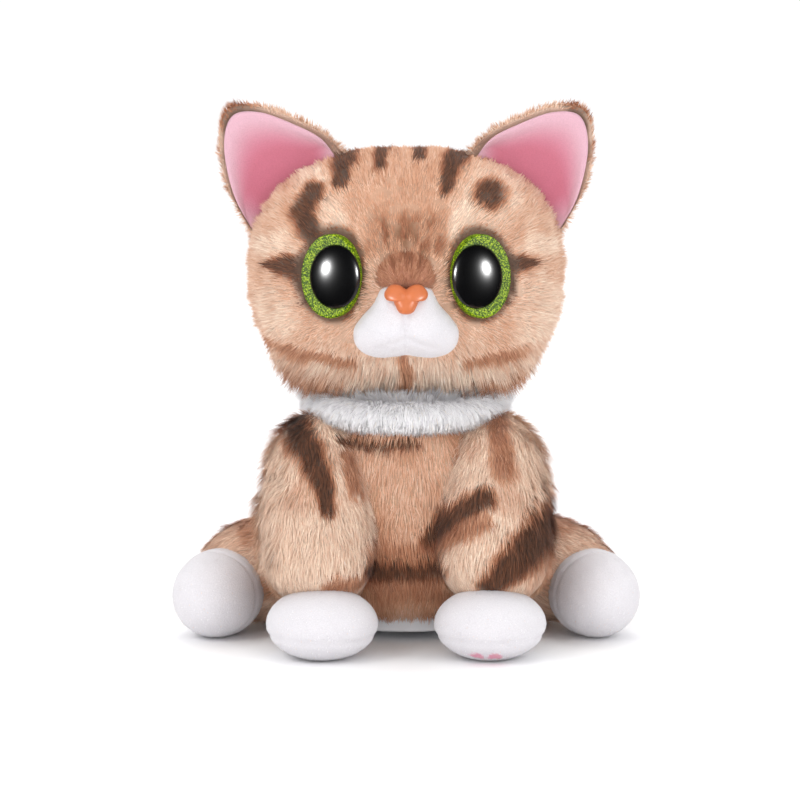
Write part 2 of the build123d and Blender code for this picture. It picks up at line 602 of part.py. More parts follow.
# ---------------------------------------------------------------- circuit board, chip and speaker
board_top = BOARD_Z + BOARD_THICKNESS
BOARD_HOLE_RADIUS, BOARD_HOLE_INSET = 1.1, 3.0
CHIP_SPOT, CHIP_SIZE, CHIP_HEIGHT, CHIP_CORNER = (-24.0, 18.0), (7.0, 10.0), 1.6, 0.4
with BuildPart() as board:
    with BuildSketch(Plane(origin=(0, BASE_Y, BOARD_Z))):
        Circle(BOARD_RADIUS)
        with GridLocations(0, 2 * (BOARD_RADIUS - BOARD_HOLE_INSET), 1, 2):
            Circle(BOARD_HOLE_RADIUS, mode=Mode.SUBTRACT)
    extrude(amount=BOARD_THICKNESS)
save(board.part, "circuit_board")

with BuildPart() as chip:
    with BuildSketch(Plane(origin=(*CHIP_SPOT, board_top + STACK_GAP))):
        RectangleRounded(*CHIP_SIZE, CHIP_CORNER)
    extrude(amount=CHIP_HEIGHT)
save(chip.part, "sound_chip")

MAGNET_RADIUS, MAGNET_HEIGHT, MAGNET_EDGE = 10.0, 6.0, 0.5
magnet_top = SPEAKER_BOTTOM + MAGNET_HEIGHT
with BuildPart() as magnet:
    with BuildSketch(Plane(origin=(0, SPEAKER_Y, SPEAKER_BOTTOM))):
        Circle(MAGNET_RADIUS)
    extrude(amount=MAGNET_HEIGHT)
    chamfer(magnet.edges().filter_by(GeomType.CIRCLE), MAGNET_EDGE)
save(magnet.part, "speaker_magnet")

BASKET_PROFILE = [  # radius and distance below the speaker's top
    (0.0, SPEAKER_TOP - magnet_top - STACK_GAP),
    (11.0, SPEAKER_TOP - magnet_top - STACK_GAP),
    (16.0, 3.0),
    (SPEAKER_RADIUS, 3.0),
    (SPEAKER_RADIUS, 0.0),
    (16.2, 0.0),
    (16.2, 1.6),
    (15.0, 1.6),
    (10.4, 10.1),
    (0.0, 10.1),
]
CONE_PROFILE = [
    (0.0, 5.0),
    (5.0, 5.6),
    (14.5, 1.5),
    (16.1, 1.5),
    (16.1, 1.0),
    (14.4, 0.9),
    (5.0, 4.9),
    (0.0, 4.2),
]


def speaker_shell(profile):
    """Return a shell turned about the speaker's axis from (radius, distance below its top) points."""
    with BuildPart() as shell:
        with BuildSketch(Plane(origin=(0, SPEAKER_Y, SPEAKER_TOP), x_dir=(1, 0, 0), z_dir=(0, -1, 0))):
            Polygon(*[(radius, -depth) for radius, depth in profile], align=None)
        revolve(axis=Axis((0, SPEAKER_Y, 0), (0, 0, 1)))
    return shell.part


save(speaker_shell(BASKET_PROFILE), "speaker_basket")
save(speaker_shell(CONE_PROFILE), "speaker_cone")

# ---------------------------------------------------------------- purr motor
motor_plane = Plane(origin=(-MOTOR_HALF_LENGTH, MOTOR_Y, MOTOR_Z), x_dir=(0, 1, 0), z_dir=(1, 0, 0))
WEIGHT_START, WEIGHT_LENGTH, WEIGHT_RADIUS = 1.2, 5.0, 5.2
WEIGHT_HUB_RADIUS, WEIGHT_FLAT, SHAFT_TIP, SHAFT_GRIP = 2.0, 4.4, 0.6, 0.01
SHAFT_IN_MOTOR, SHAFT_END_GAP, MOTOR_EDGE = 4.0, 0.2, 0.6
BRACKET_LENGTH, BRACKET_SIDE = 10.0, 1.5
motor_length = 2 * MOTOR_HALF_LENGTH

with BuildPart() as motor:
    with BuildSketch(motor_plane):
        Circle(MOTOR_RADIUS)
    extrude(amount=motor_length)
    chamfer(motor.edges().filter_by(GeomType.CIRCLE), MOTOR_EDGE)
    with BuildSketch(motor_plane.offset(motor_length - SHAFT_IN_MOTOR - SHAFT_END_GAP)):
        Circle(SHAFT_BORE)
    extrude(amount=SHAFT_IN_MOTOR + CUT_CLEAR, mode=Mode.SUBTRACT)
save(motor.part, "purr_motor")

with BuildPart() as bracket:
    bracket_low = board_top + STACK_GAP
    with Locations((0, MOTOR_Y, (bracket_low + MOTOR_Z) / 2)):
        Box(BRACKET_LENGTH, 2 * (MOTOR_RADIUS + BRACKET_SIDE), MOTOR_Z - bracket_low)
    with BuildSketch(motor_plane):
        Circle(MOTOR_RADIUS + STACK_GAP)
    extrude(amount=motor_length, mode=Mode.SUBTRACT)
save(bracket.part, "purr_motor_bracket")

with BuildPart() as shaft:
    with BuildSketch(motor_plane.offset(motor_length - SHAFT_IN_MOTOR)):
        Circle(SHAFT_RADIUS)
    extrude(amount=SHAFT_IN_MOTOR + WEIGHT_START + WEIGHT_LENGTH + SHAFT_TIP)
save(shaft.part, "purr_motor_shaft")

with BuildPart() as weight:
    with BuildSketch(motor_plane.offset(motor_length + WEIGHT_START)):
        Circle(WEIGHT_RADIUS)
        with Locations((0, 2 * WEIGHT_RADIUS - WEIGHT_FLAT)):
            Rectangle(3 * WEIGHT_RADIUS, 2 * WEIGHT_RADIUS, mode=Mode.SUBTRACT)
        Circle(WEIGHT_HUB_RADIUS)
        Circle(SHAFT_RADIUS + SHAFT_GRIP, mode=Mode.SUBTRACT)
    extrude(amount=WEIGHT_LENGTH)
save(weight.part, "purr_weight")

# ---------------------------------------------------------------- power switch
SWITCH_GAP, SWITCH_SIZE, SLOT_ROOM = 1.6, (12.0, 6.0, 5.0), (2.6, 2.4, 3.0)
KNOB_SIZE, KNOB_DROP, STEM_WIDTH, STEM_REACH = (5.0, 3.4, 4.0), 0.6, 1.8, 1.2
KNOB_GROOVES, GROOVE_SIZE = (-1.5, 0.0, 1.5), 0.5
ON_FLOOR = (Align.CENTER, Align.CENTER, Align.MIN)
switch_low = floor_top + SWITCH_GAP
with BuildPart() as switch_body:
    with Locations((SWITCH_X, SWITCH_Y, switch_low)):
        Box(*SWITCH_SIZE, align=ON_FLOOR)
        Box(SLIDER_TRAVEL + SLOT_ROOM[0], SLOT_ROOM[1], SLOT_ROOM[2], mode=Mode.SUBTRACT)
save(switch_body.part, "power_switch_body")

knob_x, knob_bottom = SWITCH_X - SLIDER_TRAVEL / 2, TRAY_BOTTOM - KNOB_DROP
with BuildPart() as slider:
    with Locations((knob_x, SWITCH_Y, knob_bottom)):
        Box(*KNOB_SIZE, align=ON_FLOOR)
    for groove_x in KNOB_GROOVES:
        with Locations((knob_x + groove_x, SWITCH_Y, knob_bottom)):
            Box(GROOVE_SIZE, KNOB_SIZE[1], GROOVE_SIZE, align=ON_FLOOR, mode=Mode.SUBTRACT)
    with Locations((knob_x, SWITCH_Y, TRAY_BOTTOM)):
        Box(STEM_WIDTH, STEM_WIDTH, switch_low + STEM_REACH - TRAY_BOTTOM, align=ON_FLOOR)
save(slider.part, "power_slider")

# ---------------------------------------------------------------- torso
WIRE_CORNERS = [(WIRE_HOLE_Y, CAN_TOP - 6.0), (WIRE_HOLE_Y, CAN_TOP + 22.0), (HEAD_Y, CAN_TOP + 38.0)]
CAN_CUT_DEPTH = 10.0


def body_wire_route(x, top):
    """Return the corners of a wire's way from the module can up to the neck."""
    return [(x, y, z) for y, z in WIRE_CORNERS] + [(x, HEAD_Y, top)]


with BuildPart() as body_wires:
    for wire_x in (-WIRE_RADIUS - STACK_GAP, WIRE_RADIUS + STACK_GAP):
        route = body_wire_route(wire_x, neck_top - NECK_WIRE_GAP)
        add(tube(route, BODY_WIRE_BEND, BODY_WIRE_RADIUS))
save(body_wires.part, "body_wires")

with BuildPart() as torso_cover:
    add(torso_outer)
    add(torso_inner, mode=Mode.SUBTRACT)
    with BuildSketch(Plane(origin=(0, BASE_Y, TORSO_BOTTOM - CUT_CLEAR))):
        Circle(CAN_RADIUS + FIT)
    extrude(amount=CAN_CUT_DEPTH, mode=Mode.SUBTRACT)
    add(head_seat, mode=Mode.SUBTRACT)
save(torso_cover.part, "torso_cover")

with BuildPart() as torso_stuffing:
    add(torso_fill)
    add(head_seat, mode=Mode.SUBTRACT)
    with BuildSketch(Plane(origin=(0, BASE_Y, TORSO_BOTTOM - CUT_CLEAR))):
        Circle(CAN_RADIUS + FIT)
    extrude(amount=CAN_TOP + FIT - TORSO_BOTTOM + CUT_CLEAR, mode=Mode.SUBTRACT)
    wire_channel = tube(body_wire_route(0, neck_top + WIRE_ROOM), BODY_WIRE_BEND, BODY_WIRE_ROOM)
    add(wire_channel, mode=Mode.SUBTRACT)
save(torso_stuffing.part, "torso_stuffing")

with BuildPart() as ruff:
    with Locations((0, HEAD_Y, RUFF_Z)):
        Torus(RUFF_RADIUS, RUFF_THICKNESS, rotation=(0, 0, RUFF_SEAM))
    add(head_seat, mode=Mode.SUBTRACT)
    add(torso_keep_out, mode=Mode.SUBTRACT)
save(ruff.part, "neck_ruff")


# ---------------------------------------------------------------- legs, paws and feet
def leg_shape(side, shrink):
    """Return one front leg's bolster, made smaller all round by shrink."""
    top = Vector(side * LEG_TOP[0], LEG_TOP[1], LEG_TOP[2])
    down = (Vector(side * LEG_BOTTOM[0], LEG_BOTTOM[1], LEG_BOTTOM[2]) - top).normalized()
    length = LEG_PROFILE[-1][0]
    squeeze = (length - 2 * shrink) / length
    profile = [(shrink + d * squeeze, max(r - shrink, 0)) for d, r in LEG_PROFILE]
    return lathe(Plane(origin=top, x_dir=down, z_dir=(-1, 0, 0)), profile)


def paw_shape(side, shrink):
    """Return one front paw, flat where it stands on the floor."""
    plane = Plane(origin=(side * PAW_X, PAW_Y, PAW_Z), x_dir=(0, -1, 0))
    with BuildPart() as body:
        add(ellipsoid(plane, PAW_RADIUS - shrink, PAW_RADIUS - shrink, PAW_HALF_HEIGHT - shrink))
        split(bisect_by=Plane.XY.offset(shrink), keep=Keep.TOP)
    return body.part


def limb_plane(side, centre, turn):
    """Return a level plane at a hind limb's centre whose Y axis lies along the limb."""
    outward = (side * cos(radians(turn + 90)), sin(radians(turn + 90)), 0)
    return Plane(origin=(side * centre[0], centre[1], centre[2]), x_dir=outward)


def haunch_shape(side, shrink):
    """Return one hind leg's thigh, which lies on the floor beside the torso."""
    radius = HAUNCH_RADIUS - shrink
    plane = limb_plane(side, HAUNCH_CENTRE, HAUNCH_TURN)
    return ellipsoid(plane, radius, HAUNCH_HALF_LENGTH - shrink, radius)


def foot_shape(side, shrink):
    """Return one hind foot, flat where it stands on the floor."""
    radius = FOOT_RADIUS - shrink
    with BuildPart() as body:
        add(ellipsoid(limb_plane(side, FOOT_CENTRE, FOOT_TURN), radius, FOOT_HALF_LENGTH - shrink, radius))
        split(bisect_by=Plane.XY.offset(shrink), keep=Keep.TOP)
    return body.part


def limb_pieces(side, upper_shape, end_shape, others):
    """Return a limb's two covers and its stuffing, with the upper ones cut clear of the others."""
    with BuildPart() as upper:
        add(upper_shape(side, 0))
        add(upper_shape(side, COVER), mode=Mode.SUBTRACT)
        add(end_shape(side, -FIT), mode=Mode.SUBTRACT)
        for other in others:
            add(other, mode=Mode.SUBTRACT)
    with BuildPart() as end:
        add(end_shape(side, 0))
        add(end_shape(side, COVER), mode=Mode.SUBTRACT)
        add(upper_shape(side, COVER), mode=Mode.SUBTRACT)
    with BuildPart() as stuffing:
        add(upper_shape(side, COVER + FIT))
        for other in others:
            add(other, mode=Mode.SUBTRACT)
        add(end_shape(side, COVER + FIT))
    return {"cover": upper.part, "end": end.part, "stuffing": stuffing.part}


TRAY_ROOM = 0.4
with BuildPart() as ruff_keep_out:
    with Locations((0, HEAD_Y, RUFF_Z)):
        Torus(RUFF_RADIUS, RUFF_THICKNESS + FIT, rotation=(0, 0, RUFF_SEAM))

with BuildPart() as tray_keep_out:
    with BuildSketch(Plane(origin=(0, BASE_Y, 0))):
        Circle(TRAY_RADIUS + TRAY_ROOM)
    extrude(amount=TRAY_TOP + TRAY_ROOM)

for side_name, side in SIDES.items():
    front = limb_pieces(side, leg_shape, paw_shape, [torso_keep_out, ruff_keep_out.part])
    save(front["cover"], f"front_leg_{side_name}")
    save(front["end"], f"front_paw_{side_name}")
    save(front["stuffing"], f"front_limb_stuffing_{side_name}")
    hind = limb_pieces(side, haunch_shape, foot_shape, [torso_keep_out, tray_keep_out.part])
    save(hind["cover"], f"hind_leg_{side_name}")
    save(hind["end"], f"hind_foot_{side_name}")
    save(hind["stuffing"], f"hind_limb_stuffing_{side_name}")

# ---------------------------------------------------------------- tail
with BuildPart() as tail:
    with BuildLine():
        curl = ThreePointArc((*TAIL_PIVOT, TAIL_Z), (*TAIL_MIDDLE, TAIL_Z), (*TAIL_TIP, TAIL_Z))
    with BuildSketch(Plane(origin=curl @ 0, z_dir=curl % 0)):
        Circle(TAIL_RADIUS)
    sweep()
    with Locations((*TAIL_PIVOT, TAIL_Z), (*TAIL_TIP, TAIL_Z)):
        Sphere(TAIL_RADIUS)
save(tail.part, "tail")

# ---------------------------------------------------------------- care label
LABEL_X, LABEL_Y, LABEL_TOP = -26.0, 69.0, 33.0
LABEL_WIDTH, LABEL_THICKNESS, LABEL_LENGTH = 16.0, 0.6, 24.0
with BuildPart() as care_label:
    with Locations((LABEL_X, LABEL_Y, LABEL_TOP)):
        Box(LABEL_WIDTH, LABEL_THICKNESS, LABEL_LENGTH, align=(Align.CENTER, Align.CENTER, Align.MAX))
    add(torso_keep_out, mode=Mode.SUBTRACT)
save(care_label.part, "care_label")
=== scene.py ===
"""The looks of a sitting plush kitten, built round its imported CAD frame.

The forms are worked out in millimetres in the frame's own axes: the kitten looks towards -Y,
its own right side is at -X, and it sits on Z = 0.
"""

import math

import bpy
import numpy as np
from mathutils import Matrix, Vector


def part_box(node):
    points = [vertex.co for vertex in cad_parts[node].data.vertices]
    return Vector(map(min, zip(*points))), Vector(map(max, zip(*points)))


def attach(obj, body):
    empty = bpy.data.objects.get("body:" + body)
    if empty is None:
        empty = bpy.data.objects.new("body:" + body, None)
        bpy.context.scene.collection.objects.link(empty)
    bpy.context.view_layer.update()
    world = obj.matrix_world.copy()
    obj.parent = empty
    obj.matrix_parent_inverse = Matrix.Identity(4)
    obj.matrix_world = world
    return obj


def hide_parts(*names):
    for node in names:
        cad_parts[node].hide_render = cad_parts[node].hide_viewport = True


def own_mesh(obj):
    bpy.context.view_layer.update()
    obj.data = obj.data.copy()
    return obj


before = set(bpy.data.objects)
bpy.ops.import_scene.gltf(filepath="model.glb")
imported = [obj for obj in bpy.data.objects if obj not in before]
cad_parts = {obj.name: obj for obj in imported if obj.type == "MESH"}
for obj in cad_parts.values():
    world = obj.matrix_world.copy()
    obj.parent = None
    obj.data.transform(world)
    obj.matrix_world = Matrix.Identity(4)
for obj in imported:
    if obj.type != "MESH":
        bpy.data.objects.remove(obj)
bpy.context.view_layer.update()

# ---- driving values
MM = 0.001
SIDES = {"right": -1.0, "left": 1.0}
ACROSS, DEEP, UP = np.eye(3)
VIEW_TILT = math.radians(10.0)  # the coat's marks are placed as seen from this far above level
CAMERA_LENS, CAMERA_SENSOR = 600.0, 36.0
SEEN_WIDTH = 0.3475  # metres across the taller side of the picture, at the kitten

HEAD_CENTRE = np.array((0.0, -4.0, 159.0))
HEAD_HALF_X, HEAD_HALF_Z = 66.0, 52.5
HEAD_HALF_FRONT, HEAD_HALF_BACK = 50.0, 53.0
HEAD_ROUNDNESS = 2.45  # above 2 the head is fuller than an ellipsoid

EYE_X, EYE_Z = 32.3, 164.2
EYE_TURN, EYE_LIFT = math.radians(23.6), math.radians(5.6)
EYE_CENTRE_Y = -50.2
EYE_FOOTPRINT = (13.6, 18.2)
PUPIL_SIZE = (11.7, 13.8, 5.5)
PUPIL_SHIFT = 0.7  # towards the nose, over the plate's rounded edge

TORSO_LEVELS = np.array([  # height, centre y, radius
    (10.9, 16.0, 40.0), (13.5, 16.0, 46.5), (22.0, 16.0, 55.0), (40.0, 14.0, 60.0), (60.0, 9.0, 56.0),
    (82.0, 2.0, 46.5), (97.0, -3.0, 37.0), (110.0, -4.0, 31.0),
])
LEG_TOP = np.array((37.5, -13.0, 97.0))
LEG_BOTTOM = np.array((37.5, -57.0, 19.0))
LEG_LEVELS = np.array([  # distance down the leg, radius
    (1.0, 6.0), (4.0, 12.5), (16.0, 20.0), (38.0, 24.2), (60.0, 24.4), (74.0, 21.4), (82.0, 14.5),
    (85.5, 6.0),
])
HAUNCH_CENTRE, HAUNCH_HALF = np.array((55.0, 21.0, 24.6)), (41.2, 23.4, 23.4)
HAUNCH_TURN = math.radians(-37.0)
FOOT_CENTRE, FOOT_HALF = np.array((81.0, -8.0, 18.4)), (27.0, 19.0, 19.0)
FOOT_TURN = math.radians(-72.0)
PAW_CENTRE, PAW_HALF = np.array((36.0, -60.0, 14.9)), (24.0, 24.0, 15.6)
PAW_TURN = math.radians(-90.0)
RUFF_CENTRE = np.array((0.0, -4.0, 102.4))
RUFF_RADIUS, RUFF_THICKNESS = 38.0, 6.2
TAIL_PATH = [(-4.0, 73.5), (36.0, 76.0), (78.0, 62.0)]
TAIL_Z, TAIL_RADIUS = 8.7, 7.6

EAR_OUTLINE = [
    (27.0, 209.0), (34.0, 217.0), (46.0, 224.0), (63.0, 230.0), (76.5, 228.5), (80.0, 213.0),
    (76.0, 194.0), (64.0, 172.0),
]
LINING_OUTLINE = [
    (29.5, 207.5), (36.5, 216.4), (47.5, 222.4), (63.0, 228.0), (74.8, 226.2), (78.2, 212.5),
    (73.8, 191.5), (64.0, 173.5),
]

FUR_WIDTH = 0.14  # half the width of a strand at its root
FUR_SEED = 7
FLOOR_GAP = 0.15
PALETTE_JITTER = (12.0, 3.0)  # how much a strand's colour varies in brightness and in hue
CLOTH_FRAMES = 20
CLOTH_REACH = 1.6  # how far the cloth may move when it is filled
SEAM_DEPTH, SEAM_WIDTH = 0.6, 1.2

HEAD_STRIPES = (-26.0, -8.5, 8.5, 26.0)  # across the back of the head
BACK_BANDS = (34.0, 55.0, 76.0)  # up the back
THIGH_BANDS = (32.0, 50.0, 66.0)
TAIL_BANDS = (8.0, 24.0, 40.0, 56.0)
LABEL_SIZE, LABEL_TOP = (16.0, 24.0), 33.0
LIGHT_AIM = (0.0, 0.0, 0.11)
CAMERA_AIM = (-0.0026, 0.0, 0.1005)
FLOOR_CORNERS = [(-9000, -3000, 0), (9000, -3000, 0), (9000, 20000, 0), (-9000, 20000, 0)]

# ---- colours, as screen values
PALETTE = {
    "cream": (255, 233, 211),
    "light_cream": (241, 211, 188),
    "pale_tan": (234, 196, 170),
    "tan": (226, 180, 151),
    "mid_tan": (216, 165, 134),
    "warm_tan": (204, 150, 118),
    "brown_tan": (190, 134, 103),
    "reddish": (173, 115, 86),
    "deep_reddish": (150, 95, 69),
    "brown": (117, 76, 55),
    "dark_brown": (97, 65, 49),
    "darker_brown": (79, 56, 44),
    "darkest_brown": (61, 45, 37),
    "white": (255, 254, 255),
    "soft_white": (228, 225, 230),
    "warm_white": (244, 233, 219),
    "rose": (226, 150, 174),
}
PALETTE_NAMES = list(PALETTE)
PALETTE_VALUES = np.array([PALETTE[name] for name in PALETTE_NAMES], float)

BASE_COAT = (231, 187, 159)
CREAM = (243, 213, 189)
FOREHEAD = (222, 170, 138)
LEG_COAT = (255, 220, 192)
HAUNCH_COAT = (242, 203, 175)
CHEST_COAT = (206, 154, 118)
# painted light: lightens the chin and jaw, which face down, against their shade
CHIN_LIFT_LIGHT = (255, 224, 198)
EAR_COAT = (240, 204, 180)
# painted shade: the deeper rose of the ear lining's hollow
LINING_HOLLOW_SHADE = (200, 112, 132)
LINING_RIM = (222, 176, 190)
BRIDGE_COAT = (196, 134, 106)
STREAK = (150, 98, 72)
NOSE_STREAK = (146, 100, 70)
# partly the eye's dark outline, partly painted shade of the recess round the eye
PATCH = (198, 150, 112)
EYE_RIM_SHADE = (96, 68, 50)
DARK = (92, 68, 54)
REDDISH = (184, 125, 96)
WHITE = (228, 225, 229)
# the ruff's white, partly painted light: brighter than WHITE against the head's shade over the ruff
RUFF_LIFTED_WHITE = (255, 253, 255)

# Each mark is a run of (across, up, half width) points as seen from the front.
HEAD_MARKS = {
    REDDISH: [
        [(-66, 130, 1.2), (-45, 121, 2.2), (-22, 117, 1.2)],
        [(66, 130, 1.2), (45, 121, 2.2), (24, 117, 1.2)],
        [(-58, 119, 1.0), (-40, 111, 2.0), (-18, 110, 1.0)],
        [(58, 119, 1.0), (42, 111, 2.0), (20, 110, 1.0)],
        [(-1, 119, 2.0), (2, 103, 4.0)],
    ],
    CREAM: [
        [(-40, 197, 5.5), (-40, 190, 6.0)],
        [(-30.5, 181, 4.5), (-29.5, 172, 5.0)],
        [(23, 179, 6.0), (24, 171, 6.0)],
        [(35.1, 187.2, 11.5), (36.5, 186, 11.5)],
        [(-60, 165.5, 4.0), (-51, 166, 4.5)],
        [(-57, 143, 5.5), (-53, 134, 7.0)],
        [(58, 145, 8.0), (55, 131, 8.5)],
        [(52, 166, 4.0), (60, 165, 3.5)],
    ],
    DARK: [
        [(-24, 212, 6.2), (-26, 201, 5.4), (-27.6, 192.4, 3.4)],
        [(-9.4, 212, 3.4), (-11.1, 198, 2.4)],
        [(6.6, 213, 3.4), (5.4, 203, 2.4)],
        [(24.9, 210, 5.2), (19.2, 199.6, 4.4), (16.6, 189.3, 2.8)],
        [(27, 207.8, 3.2), (34, 204.7, 2.6)],
        [(-39.0, 188.2, 4.6), (-43.5, 179.5, 5.2), (-40.5, 171.5, 4.4)],
        [(34.6, 187.2, 6.6), (35.6, 187.2, 6.6)],
        [(-58, 157.6, 1.2), (-49, 156.8, 4.0), (-43, 156.5, 6.4)],
        [(-45.5, 151, 2.4), (-43.5, 141, 1.4)],
        [(54, 158.4, 1.0), (48, 157.8, 3.4), (44, 157.2, 5.2)],
        [(45.5, 151, 2.0), (43.5, 142, 1.2)],
    ],
}
BODY_MARKS = {
    REDDISH: [
        [(-26, 77, 3.5), (-22, 62, 3.5)],
        [(38, 94, 4.0), (42, 72, 5.0)],
        [(9, 39, 3.0), (22, 44, 3.5), (34, 50, 3.0)],
        [(14, 54, 3.0), (26, 60, 3.5)],
        [(-14, 37, 4.0), (12, 37, 4.0)],
        [(-12, 20, 4.0), (12, 20, 4.0)],
        [(-32, 21, 4.0), (-14, 25, 4.0)],
    ],
    CREAM: [
        [(-62, 66, 5.0), (-60, 40, 6.0)],
        [(20, 70, 4.0), (19, 62, 4.0)],
    ],
    DARK: [
        [(-30, 84, 1.8), (-8, 83, 2.2), (6, 84, 1.6)],
        [(-49, 97, 6.0), (-44, 84, 6.2), (-37.5, 73, 5.4), (-33, 55, 3.0)],
        [(9, 43, 3.6), (20, 52, 4.6), (34, 60, 4.2)],
        [(36, 22, 6.0), (50, 37, 8.0), (66, 57, 8.0)],
        [(-14, 29, 4.2), (13, 29, 4.2)],
    ],
}


def as_linear(values):
    """Return screen colour values from 0 to 255 as linear light from 0 to 1."""
    share = np.asarray(values, float) / 255.0
    return np.where(share <= 0.04045, share / 12.92, ((share + 0.055) / 1.055) ** 2.4)


# ---- small numeric helpers
def unit(vectors):
    """Return vectors of length one."""
    length = np.linalg.norm(vectors, axis=-1, keepdims=True)
    return vectors / np.maximum(length, 1e-9)


def smooth_step(low, high, values):
    """Return 0 below low, 1 above high and a soft rise between them."""
    share = np.clip((values - low) / (high - low), 0.0, 1.0)
    return share * share * (3.0 - 2.0 * share)


def lattice_value(cells, seed):
    """Return a repeatable value from 0 to 1 for each whole-number cell."""
    mixed = cells[:, 0] * 73856093 ^ cells[:, 1] * 19349663 ^ cells[:, 2] * 83492791 ^ (seed * 2654435761)
    mixed = (mixed ^ (mixed >> 13)) * 1274126177
    return ((mixed ^ (mixed >> 16)) & 0xFFFFFF) / float(0xFFFFFF)


def soft_noise(points, size, seed):
    """Return smooth noise from 0 to 1 whose features are about size across."""
    scaled = points / np.asarray(size, float)
    low = np.floor(scaled)
    share = scaled - low
    share = share * share * (3.0 - 2.0 * share)
    low = low.astype(np.int64)
    total = np.zeros(len(points))
    for corner in np.ndindex(2, 2, 2):
        weight = np.ones(len(points))
        for axis, step in enumerate(corner):
            weight = weight * (share[:, axis] if step else 1.0 - share[:, axis])
        total += weight * lattice_value(low + np.array(corner), seed)
    return total


def along_curve(points, count):
    """Return count points on a smooth curve through the given points."""
    control = np.asarray(points, float)
    ends = np.vstack((2 * control[0] - control[1], control, 2 * control[-1] - control[-2]))
    where = np.linspace(0, len(control) - 1, count)
    index = np.minimum(where.astype(int), len(control) - 2)
    t = (where - index)[:, None]
    p0, p1, p2, p3 = ends[index], ends[index + 1], ends[index + 2], ends[index + 3]
    bend = (2 * p0 - 5 * p1 + 4 * p2 - p3) * t**2
    return 0.5 * (2 * p1 + (p2 - p0) * t + bend + (3 * p1 - p0 - 3 * p2 + p3) * t**3)


def seen_up(points):
    """Return how high each point lies as seen from the front, a little above level."""
    return points[:, 2] * math.cos(VIEW_TILT) + points[:, 1] * math.sin(VIEW_TILT)


def mirror_x(points, side):
    """Return points for one side of the kitten, given those of its left side."""
    return np.asarray(points, float) * np.array((side, 1.0, 1.0))


# ---- shells as arrays
def quads(a, b, c, d):
    """Return two triangles for each four-cornered face."""
    return np.concatenate((np.stack((a, b, c), -1).reshape(-1, 3), np.stack((a, c, d), -1).reshape(-1, 3)))


def shell_from_rings(rings):
    """Return the points and triangles of a closed shell through rings of points, with a tip at each end."""
    count, around = rings.shape[:2]
    points = np.vstack((rings[0].mean(axis=0), rings.reshape(-1, 3), rings[-1].mean(axis=0)))
    row, column = np.meshgrid(np.arange(count - 1), np.arange(around), indexing="ij")
    first, following = 1 + row * around, (column + 1) % around
    body = quads(first + column, first + following, first + around + following, first + around + column)
    ring = np.arange(around)
    low = 1 + (count - 1) * around
    first_cap = np.stack((np.zeros(around, int), 1 + (ring + 1) % around, 1 + ring), axis=1)
    last_cap = np.stack((np.full(around, len(points) - 1), low + ring, low + (ring + 1) % around), axis=1)
    return points, np.vstack((body, first_cap, last_cap))


def star_shell(centre, reach, rows, columns):
    """Return a closed shell about a centre whose radius in each direction is given by reach."""
    polar = np.linspace(0, math.pi, rows + 2)[1:-1]
    turn = np.linspace(0, 2 * math.pi, columns, endpoint=False)
    polar_grid, turn_grid = np.meshgrid(polar, turn, indexing="ij")
    sine = np.sin(polar_grid)
    directions = np.stack((sine * np.cos(turn_grid), sine * np.sin(turn_grid), np.cos(polar_grid)), -1)
    rings = centre + directions * reach(directions.reshape(-1, 3)).reshape(rows, columns, 1)
    points, triangles = shell_from_rings(rings)
    for tip, direction in ((0, (0.0, 0.0, 1.0)), (-1, (0.0, 0.0, -1.0))):
        points[tip] = centre + np.array(direction) * reach(np.array([direction]))[0]
    return points, triangles[:, ::-1]


def tube_shell(centres, radii, across, upward, columns):
    """Return a closed shell of round sections; across and upward span each section's plane."""
    turn = np.linspace(0, 2 * math.pi, columns, endpoint=False)[None, :, None]
    across, upward = (np.broadcast_to(axis, centres.shape)[:, None, :] for axis in (across, upward))
    circle = np.cos(turn) * across + np.sin(turn) * upward
    return facing_out(shell_from_rings(centres[:, None, :] + radii[:, None, None] * circle))


def outward_normals(points, triangles):
    """Return one normal for each point of a shell."""
    corners = points[triangles]
    face = np.cross(corners[:, 1] - corners[:, 0], corners[:, 2] - corners[:, 0])
    normals = np.zeros_like(points)
    for corner in range(3):
        np.add.at(normals, triangles[:, corner], face)
    return unit(normals)


def facing_out(shell):
    """Return a closed shell with its triangles turned so that they face outwards."""
    points, triangles = shell
    corners = points[triangles]
    volume = np.einsum("ij,ij->i", corners[:, 0], np.cross(corners[:, 1], corners[:, 2])).sum()
    return (points, triangles if volume > 0 else triangles[:, ::-1])


# ---- the kitten's forms
def head_level(offsets):
    """Return a value that is 1 on the head's skin, less inside and more outside."""
    depth = np.where(offsets[:, 1] < 0, HEAD_HALF_FRONT, HEAD_HALF_BACK)
    round_part = np.sqrt((offsets[:, 1] / depth) ** 2 + (offsets[:, 2] / HEAD_HALF_Z) ** 2)
    return np.abs(offsets[:, 0] / HEAD_HALF_X) ** HEAD_ROUNDNESS + round_part**HEAD_ROUNDNESS


def head_reach(directions):
    """Return how far the head's skin is from its centre in each direction."""
    return head_level(directions) ** (-1.0 / HEAD_ROUNDNESS)


def head_front_y(x, z):
    """Return where the front of the head's skin lies at each place."""
    side_part = np.abs(x / HEAD_HALF_X) ** HEAD_ROUNDNESS
    round_part = np.clip(1.0 - side_part, 0.02, None) ** (1.0 / HEAD_ROUNDNESS)
    depth = np.sqrt(np.clip(round_part**2 - ((z - HEAD_CENTRE[2]) / HEAD_HALF_Z) ** 2, 0.01, None))
    return HEAD_CENTRE[1] - HEAD_HALF_FRONT * depth


def ellipsoid_reach(half, turn, side):
    """Return a reach function of an ellipsoid whose long half size lies along turn."""
    along = np.array((side * math.cos(turn), math.sin(turn), 0.0))
    across = np.array((-along[1], along[0], 0.0))

    def reach(directions):
        level = (directions @ along / half[0]) ** 2 + (directions @ across / half[1]) ** 2
        return (level + (directions[:, 2] / half[2]) ** 2) ** -0.5

    return reach


